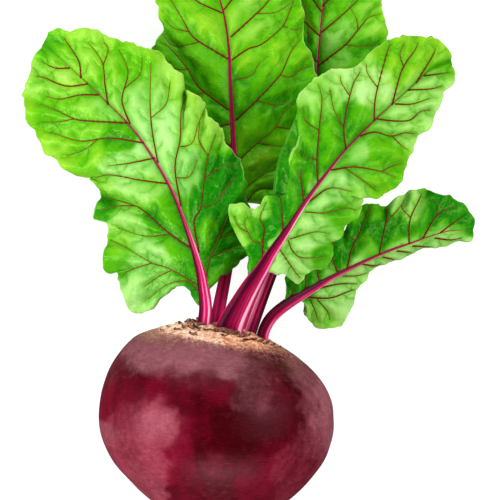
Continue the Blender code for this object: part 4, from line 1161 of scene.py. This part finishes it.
def puckered(grid, out, side, rib_line, runs, seed):
    """Raises the blade between its veins: broad quilts between the main veins, small puckers
    between the twigs and cells of their own, each as 1 minus a bell of the distance."""
    flat = unplan(grid).reshape(-1, 2)
    main = np.vstack([rib_line] + [line[::2] for line, radius in runs if radius[0] > TWIG_RADIUS])
    twigs = np.vstack([rib_line] + [line[::2] for line, radius in runs])
    off_vein = (nearest(flat, main) * PX).reshape(grid.shape[:2])
    off_twig = (nearest(flat, twigs) * PX).reshape(grid.shape[:2])
    random = np.random.default_rng(seed)
    spots = grid.reshape(-1, 3)
    count = int(np.ptp(spots[:, 0]) * np.ptp(spots[:, 1]) * BOX_SHARE / CELL_AREA)
    seeds = spots[random.choice(len(spots), count, replace=False)]
    first, second = nearest(spots, seeds, 2).T
    cell = ease((second - first).reshape(grid.shape[:2]), 0, CELL_FADE)
    between = 1 - np.exp(-(off_vein / QUILT_REACH) ** 2)
    small = 1 - np.exp(-(off_twig / PUCKER_REACH) ** 2)
    rise = QUILT * between * (0.70 + 0.30 * cell) * (1 - 0.55 * out ** 4) + PUCKER * small
    swell = relief(grid, ((*SWELL, seed + 2),)) * between
    wrinkle = relief(grid, ((*WRINKLE, seed + 3),)) * small
    lift = (rise + swell + wrinkle)[..., None]
    return grid + steady_normals(grid, side) * lift, rise / (QUILT + PUCKER), small


def slab(grid, side, thickness):
    """A closed sheet: the grid moved half its thickness up and down, and a rim round it."""
    rows, columns = grid.shape[:2]
    offset = steady_normals(grid, side) * thickness[..., None] / 2
    points = np.concatenate(((grid + offset).reshape(-1, 3), (grid - offset).reshape(-1, 3)))
    number = np.arange(rows * columns).reshape(rows, columns)
    edge = np.concatenate((number[0, :-1], number[:-1, -1], number[-1, :0:-1], number[:0:-1, 0]))
    after = np.roll(edge, -1)
    below = rows * columns
    rim = np.stack((edge, edge + below, after + below, after), -1)
    top = grid_faces(rows, columns, flip=side < 0)
    bottom = grid_faces(rows, columns, flip=side > 0) + below
    if side < 0:
        rim = rim[:, ::-1]
    return points, np.vstack((top, bottom, rim))


DEEP_GREEN = (0.002, 0.180, 0.001)
MID_GREEN = (0.080, 0.390, 0.001)
LIGHT_GREEN = (0.250, 0.545, 0.012)
MINT_SHEEN = (0.430, 0.740, 0.260)
NET_GREEN = (0.12, 0.46, 0.012)
RIM_GREEN = (0.50, 0.66, 0.20)
UNDER_GREEN = (0.30, 0.50, 0.18)


def leaf_skin():
    """Waxy green from deep to light, partly painted shade, darker in the grooves by the veins and
    lighter on the swells as painted shade and light, with a painted pale mint sheen, lighter at
    the very edge, and a faint net of fine veins."""
    paint = Paint("leaf_green", Specular_IOR_Level=0.26, Specular_Tint=(0.55, 1, 0.2, 1))
    out, under, rise, dimple, lightness, sheen_share = paint.attributes(
        "out", "under", "rise", "dimple", "lightness", "painted_sheen")
    broad = paint.noise(90, 3)
    patch = paint.noise(300, 5, 0.7)
    fold = paint.noise(130, 3, 0.5) - 0.5
    crease = (fold * fold * 260).ease(0, 1)
    net = paint.node("ShaderNodeTexVoronoi", {"feature": "DISTANCE_TO_EDGE"},
                     {"Vector": paint.place(), "Scale": 420, "Randomness": 1})
    # Painted shade and light: darker in the grooves by the veins and twigs, lighter on the swells
    tone = lightness + broad.swing(0.5) + patch.swing(0.36) + (rise - 0.2) * 0.32
    tone = tone + (dimple - 0.8) * 0.16 + (crease - 0.6) * 0.04 + out.ease(0.8, 1) * 0.06
    colour = paint.mix(tone.ease(0, 0.65), DEEP_GREEN, MID_GREEN)
    colour = paint.mix(tone.ease(0.50, 1.1), colour, LIGHT_GREEN)
    # A painted pale mint sheen from the leaf's spots, strongest on the swells between the veins
    mint = sheen_share * (rise * 0.8 + dimple * 0.2 + patch * 0.4 + 0.25) + broad.swing(0.15)
    colour = paint.mix(mint.ease(0.12, 1) * 0.8, colour, MINT_SHEEN)
    colour = paint.mix((1 - net.ease(0.02, 0.16)) * 0.08, colour, NET_GREEN)
    colour = paint.mix(out.ease(RIM_FROM, 1) * 0.4, colour, RIM_GREEN)
    colour = paint.mix(under * 0.55, colour, UNDER_GREEN)
    roughness = 0.25 + patch * 0.10 + under * 0.15
    height = net.ease(0, 0.25) * 0.25 + patch * 0.7 + crease * 0.15 + dimple * 0.7
    return paint.finish(colour, roughness, height, 0.45, 0.0006)


VEIN_SEED = 300
BLADE_SEED = 100
# How much darker the tucked strip is
TUCKED_SHADE = 0.35
LEAF_WAVER_PX = 4
# How each leaf's green varies, as judged: across and down in the picture and reach there, then
# how light, partly painted shade, and how pale with painted sheen it is, from 0 to 1
GREEN_SPOTS = {
    "left_leaf": (
        (51, 46, 12, 0.3, 0), (72, 42, 18, 0.85, 0.3), (62, 66, 14, 1, 0.5), (42, 82, 18, 0.9, 0.55),
        (96, 50, 13, 0.95, 0.45), (40, 112, 18, 0.6, 0.1), (122, 62, 22, 0.65, 0.2),
        (72, 130, 18, 0.7, 0.3), (62, 147, 12, 0.85, 0.3), (84, 154, 14, 0.7, 0.2),
        (134, 100, 20, 0.7, 0.55), (157, 124, 22, 0.7, 0.95), (118, 140, 10, 0.3, 0),
        (188, 92, 18, 0.95, 0.45), (181, 170, 16, 0.55, 0.7), (202, 122, 20, 0.95, 0.55),
        (122, 170, 13, 0.7, 0.85), (146, 189, 13, 0.75, 0.55), (160, 208, 13, 0.2, 0),
        (107, 189, 8, 0.8, 0.4), (102, 204, 9, 0.2, 0), (126, 221, 12, 0.75, 0.6), (222, 190, 26, 0.05, 0),
        (205, 250, 20, 0.25, 0), (120, 243, 9, 0.8, 0.4), (114, 260, 10, 0.3, 0), (142, 254, 14, 0.65, 0.7),
        (140, 288, 22, 0.6, 0.7), (172, 230, 16, 0.35, 0.1), (193, 297, 7, 0, 0),
    ),
    "centre_leaf": (
        (190, 20, 24, 0.75, 0.15), (170, 60, 22, 0.5, 0.15), (200, 85, 24, 0.35, 0),
        (198, 122, 22, 0.25, 0), (252, 22, 20, 0.75, 0.35), (276, 55, 22, 0.7, 0.05),
        (292, 95, 20, 0.35, 0.1), (255, 100, 20, 0.35, 0), (262, 155, 26, 0.65, 0),
        (220, -40, 40, 0.5, 0.1),
    ),
    "back_leaf": (
        (340, 40, 16, 0.65, 0.5), (338, 108, 20, 0.1, 0.1), (290, 60, 24, 0.15, 0),
        (375, 85, 14, 0.35, 0.3), (366, 60, 14, 0.3, 0.1), (368, 12, 14, 0.8, 0.4), (345, 0, 40, 0.5, 0.1),
        (320, -50, 40, 0.5, 0.1),
    ),
    "right_leaf": (
        (430, 50, 14, 0.85, 0.25), (446, 66, 8, 0.65, 0.3), (400, 52, 16, 0.8, 0.2),
        (380, 50, 12, 0.6, 0.05), (360, 76, 16, 1, 1), (318, 92, 14, 0.75, 0.6), (358, 120, 10, 0.3, 0),
        (308, 130, 14, 0.45, 0.2), (330, 150, 13, 0.3, 0), (300, 165, 12, 0.3, 0), (286, 190, 14, 0.2, 0),
        (284, 216, 9, 0.1, 0), (350, 162, 12, 0.6, 0.5), (378, 124, 12, 0.6, 0.5),
        (398, 118, 12, 0.85, 0.75), (408, 133, 10, 0.85, 0.7), (434, 92, 14, 0.9, 0.8),
        (384, 150, 9, 0.4, 0), (388, 170, 14, 0.65, 0.05), (330, 190, 14, 0.65, 0.8),
        (354, 203, 9, 0.75, 0.5), (338, 214, 10, 0.4, 0.1), (314, 226, 14, 0.75, 0.75),
        (294, 242, 13, 0.75, 0.8), (298, 266, 14, 0.85, 0.85), (322, 258, 8, 0.4, 0),
        (238, 224, 12, 0.8, 0.5), (254, 230, 7, 0.35, 0.1), (261, 208, 7, 0.8, 0.7), (270, 228, 7, 0, 0),
        (257, 258, 7, 0.1, 0),
    ),
    "low_leaf": (
        (345, 242, 16, 0.15, 0.1), (372, 230, 12, 0.1, 0), (370, 213, 8, 0.5, 0.2), (368, 247, 9, 0.5, 0.3),
        (404, 203, 12, 0.85, 0.8), (390, 228, 12, 0.15, 0), (450, 212, 20, 0.1, 0),
        (306, 264, 16, 0.2, 0.2), (300, 290, 10, 0.2, 0.1), (448, 241, 11, 0.9, 1), (400, 256, 11, 0.9, 1),
        (366, 273, 11, 0.9, 1), (336, 300, 18, 0.8, 0.9), (326, 320, 12, 0.8, 0.5),
    ),
}
leaf_look = leaf_skin()
vein_lines = {}
blade_grids = {}
for leaf_number, (name, sides) in enumerate(MARGINS.items()):
    vein_lines[name] = vein_runs(name, VEIN_SEED + leaf_number)
    rib_line = unplan(ribs[name].at(np.linspace(0, 1, 160))[:, :3])
    tip = STALKS[name]["route"][-1][:3]
    halves = []
    blade_grids[name] = []
    for side_name, side in (("left", -1), ("right", 1)):
        start, points = sides[side_name]
        pleats = PLEATS.get((name, side_name))
        grid, out = half_blade(ribs[name], start, points, tip, side, pleats)
        seed = BLADE_SEED + 10 * leaf_number + side
        grid, rise, dimple = puckered(grid, out, side, rib_line, vein_lines[name], seed)
        grid[..., 2] = np.maximum(grid[..., 2], TABLE_CLEARANCE)
        thickness = BLADE_THICKNESS * (1 - RIM_THINNING * ease(out, RIM_FROM, 1))
        body, faces = slab(grid, side, thickness)
        blade_grids[name].append(body[:out.size].reshape(grid.shape)[:, :COLUMNS])
        # How light the green is, partly painted shade, and its painted sheen, from the leaf's spots
        lightness, painted_sheen = by_spots(grid, GREEN_SPOTS[name], LEAF_WAVER_PX)
        lightness[:, COLUMNS:] -= TUCKED_SHADE
        marks = {"lightness": lightness, "painted_sheen": painted_sheen, "out": out, "rise": rise,
                 "dimple": dimple}
        marks = {key: np.tile(values.ravel(), 2) for key, values in marks.items()}
        marks["under"] = np.repeat((0, 1), out.size)
        halves.append((body, faces, marks))
    body = np.vstack([half[0] for half in halves])
    faces = np.vstack((halves[0][1], halves[1][1] + len(halves[0][0])))
    marks = {key: np.concatenate([half[2][key] for half in halves]) for key in halves[0][2]}
    blade = new_piece(f"{name}_blade_skin", body, faces.tolist(), leaf_look, marks)
    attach(blade, "root")
    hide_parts(f"{name}_blade")


# The veins: crimson side veins, grown into the blade and standing a little proud of its upper
# side, each with finer twigs that turn from crimson to green as they thin.
VEIN_SIDES = 8
# How deep a vein sits, as a share of its radius, and the fewest points that make one
VEIN_SINK = 0.2
SHORTEST_VEIN = 4
# The least share of the cells round a point that a blade covers where a vein lies on it
COVER = 0.4
VEIN_CRIMSON = ((0.095, 0.001, 0.004), (0.18, 0.008, 0.006))
VEIN_TAN = (0.19, 0.090, 0.014)
VEIN_GREEN = ((0.008, 0.21, 0.002), (0.10, 0.38, 0.010))
# The map of the blade's height: its first corner in the picture, and cells of a pixel each way
MAP_CORNER_PX = (0, -110)
MAP_CELLS = 520


def height_map(grids, rib):
    """The height of the blade's upper side in each cell of the picture, and -1 beside it: the
    grids, and a strip along the midrib, with three points more between each two, each raise
    their own cell."""
    heights = np.full((MAP_CELLS, MAP_CELLS), -1.0)
    stations = np.linspace(0, 1, 200)
    strip = np.stack([rib.edge(stations, side) for side in (-1, 0, 1)], axis=1)
    for grid in (*grids, strip):
        for axis in (0, 1):
            count = (grid.shape[axis] - 1) * 4
            place = np.arange(count + 1) / 4
            low = np.minimum(place.astype(int), grid.shape[axis] - 2)
            share = (place - low)[:, None, None] if axis == 0 else (place - low)[None, :, None]
            grid = np.take(grid, low, axis) * (1 - share) + np.take(grid, low + 1, axis) * share
        column, row = np.moveaxis(unplan(grid) - MAP_CORNER_PX, -1, 0).round().astype(int)
        np.maximum.at(heights, (row, column), grid[..., 2])
    return heights


def on_blade(line, heights):
    """Where a line of pixels lies on a blade: heights are blended from the four cells round each
    pixel and then smoothed along the line. Also whether the blade is under each point."""
    spot = line - MAP_CORNER_PX
    base = np.floor(spot).astype(int)
    share = spot - base
    total = 0
    weights = 0
    for column, row in itertools.product((0, 1), repeat=2):
        here = heights[base[:, 1] + row, base[:, 0] + column]
        weight = np.abs(1 - column - share[:, 0]) * np.abs(1 - row - share[:, 1]) * (here > 0)
        total = total + weight * here
        weights = weights + weight
    inside = weights > COVER
    height = np.where(inside, total / np.maximum(weights, 1e-6), 0)
    if inside.all() and len(line) > 4:
        padded = np.pad(height, 1, mode="edge")
        height = np.mean([padded[step:len(padded) - 2 + step] for step in range(3)], axis=0)
    return plan(np.column_stack((line, height / MM))), inside


def vein_skin():
    """Crimson where thick, tan and then green where thin."""
    paint = Paint("vein_skin", Specular_IOR_Level=0.14, Specular_Tint=(1, 0.55, 0.4, 1))
    fine, lightness = paint.attributes("fineness", "lightness")
    grain = paint.noise(500, 2)
    green = paint.mix(lightness.ease(0, 0.65), *VEIN_GREEN)
    colour = paint.mix(fine.ease(0.28, 0.68), paint.mix(grain, *VEIN_CRIMSON), VEIN_TAN)
    colour = paint.mix(fine.ease(0.72, 0.80), colour, green)
    return paint.finish(colour, 0.35 + grain * 0.1)


vein_look = vein_skin()
for name, runs in vein_lines.items():
    heights = height_map(blade_grids[name], ribs[name])
    tubes = []
    for line, radius in runs:
        path, inside = on_blade(line, heights)
        first = int(np.argmax(inside))
        last = first + int(np.argmin(np.append(inside[first:], False)))
        if last - first >= SHORTEST_VEIN:
            path = path - UP * VEIN_SINK * radius[:, None]
            tubes.append(np.column_stack((path, radius))[first:last])
    grids = [swept_grid(tube, VEIN_SIDES, round_section).reshape(-1, 3) for tube in tubes]
    faces = []
    first = 0
    for grid in grids:
        faces += capped_faces(len(grid) // VEIN_SIDES, VEIN_SIDES, first, flip=True)
        first += len(grid)
    rings = np.vstack(tubes)
    # The twigs' green follows the leaf's lightness, painted shade included
    lightness = by_spots(rings[:, :3], GREEN_SPOTS[name], LEAF_WAVER_PX)[0]
    marks = {"fineness": 1 - rings[:, 3] / MAIN_VEIN_RADIUS, "lightness": lightness}
    marks = {key: np.repeat(values, VEIN_SIDES) for key, values in marks.items()}
    piece = new_piece(f"{name}_veins", np.vstack(grids), faces, vein_look, marks)
    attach(piece, "root")


# The studio: a plain white table that fades out of sight, large soft lamps on all four sides,
# and a long lens straight above, as the picture looks at the plant.
FLOOR_HALF = 6.0
floor_paint = Paint("white_table", Base_Color=(0.26, 0.26, 0.26, 1), Roughness=0.9,
                    Emission_Color=(1, 1, 1, 1), Emission_Strength=0.86)
floor_corners = np.array(((-1, -1, 0), (1, -1, 0), (1, 1, 0), (-1, 1, 0))) * FLOOR_HALF
floor = new_piece("floor", floor_corners, [(0, 1, 2, 3)], floor_paint.material)
floor.visible_glossy = False


def soft_lamp(name, spot, target, size, watts):
    """A rectangular lamp at a spot, turned to face a target."""
    lamp = bpy.data.lights.new(name, "AREA")
    lamp.shape = "RECTANGLE"
    lamp.size, lamp.size_y = size
    lamp.energy = watts
    holder = bpy.data.objects.new(name, lamp)
    holder.location = spot
    direction = target - holder.location
    holder.rotation_euler = direction.to_track_quat("-Z", "Y").to_euler()
    bpy.context.scene.collection.objects.link(holder)


middle = Vector((0.01, 0.06, 0.03))
soft_lamp("left_softbox", (-0.88, -0.10, 0.58), middle, (0.50, 0.60), 13)
soft_lamp("right_softbox", (0.70, 0.22, 0.68), middle, (0.60, 0.60), 8)
soft_lamp("near_softbox", (0.05, -1.05, 0.42), middle, (1.10, 0.45), 11)
soft_lamp("far_softbox", (-0.15, 1.1, 0.62), middle, (1.2, 0.35), 8)
world = bpy.context.scene.world or bpy.data.worlds.new("studio")
bpy.context.scene.world = world
world.use_nodes = True
sky = world.node_tree.nodes["Background"].inputs
sky["Color"].default_value = (1, 1, 1, 1)
sky["Strength"].default_value = 0.05

FRAME_WIDTH_PX = 489
SENSOR_WIDTH = 36
lens = bpy.data.cameras.new("camera")
lens.sensor_fit = "HORIZONTAL"
lens.sensor_width = SENSOR_WIDTH
lens.lens = SENSOR_WIDTH * (EYE_HEIGHT - BULB_WIDTH / 2) / (FRAME_WIDTH_PX * PX)
camera = bpy.data.objects.new("camera", lens)
camera.location = (*EYE, EYE_HEIGHT)
bpy.context.scene.collection.objects.link(camera)
bpy.context.scene.camera = camera
bpy.context.scene.view_settings.view_transform = "Standard"
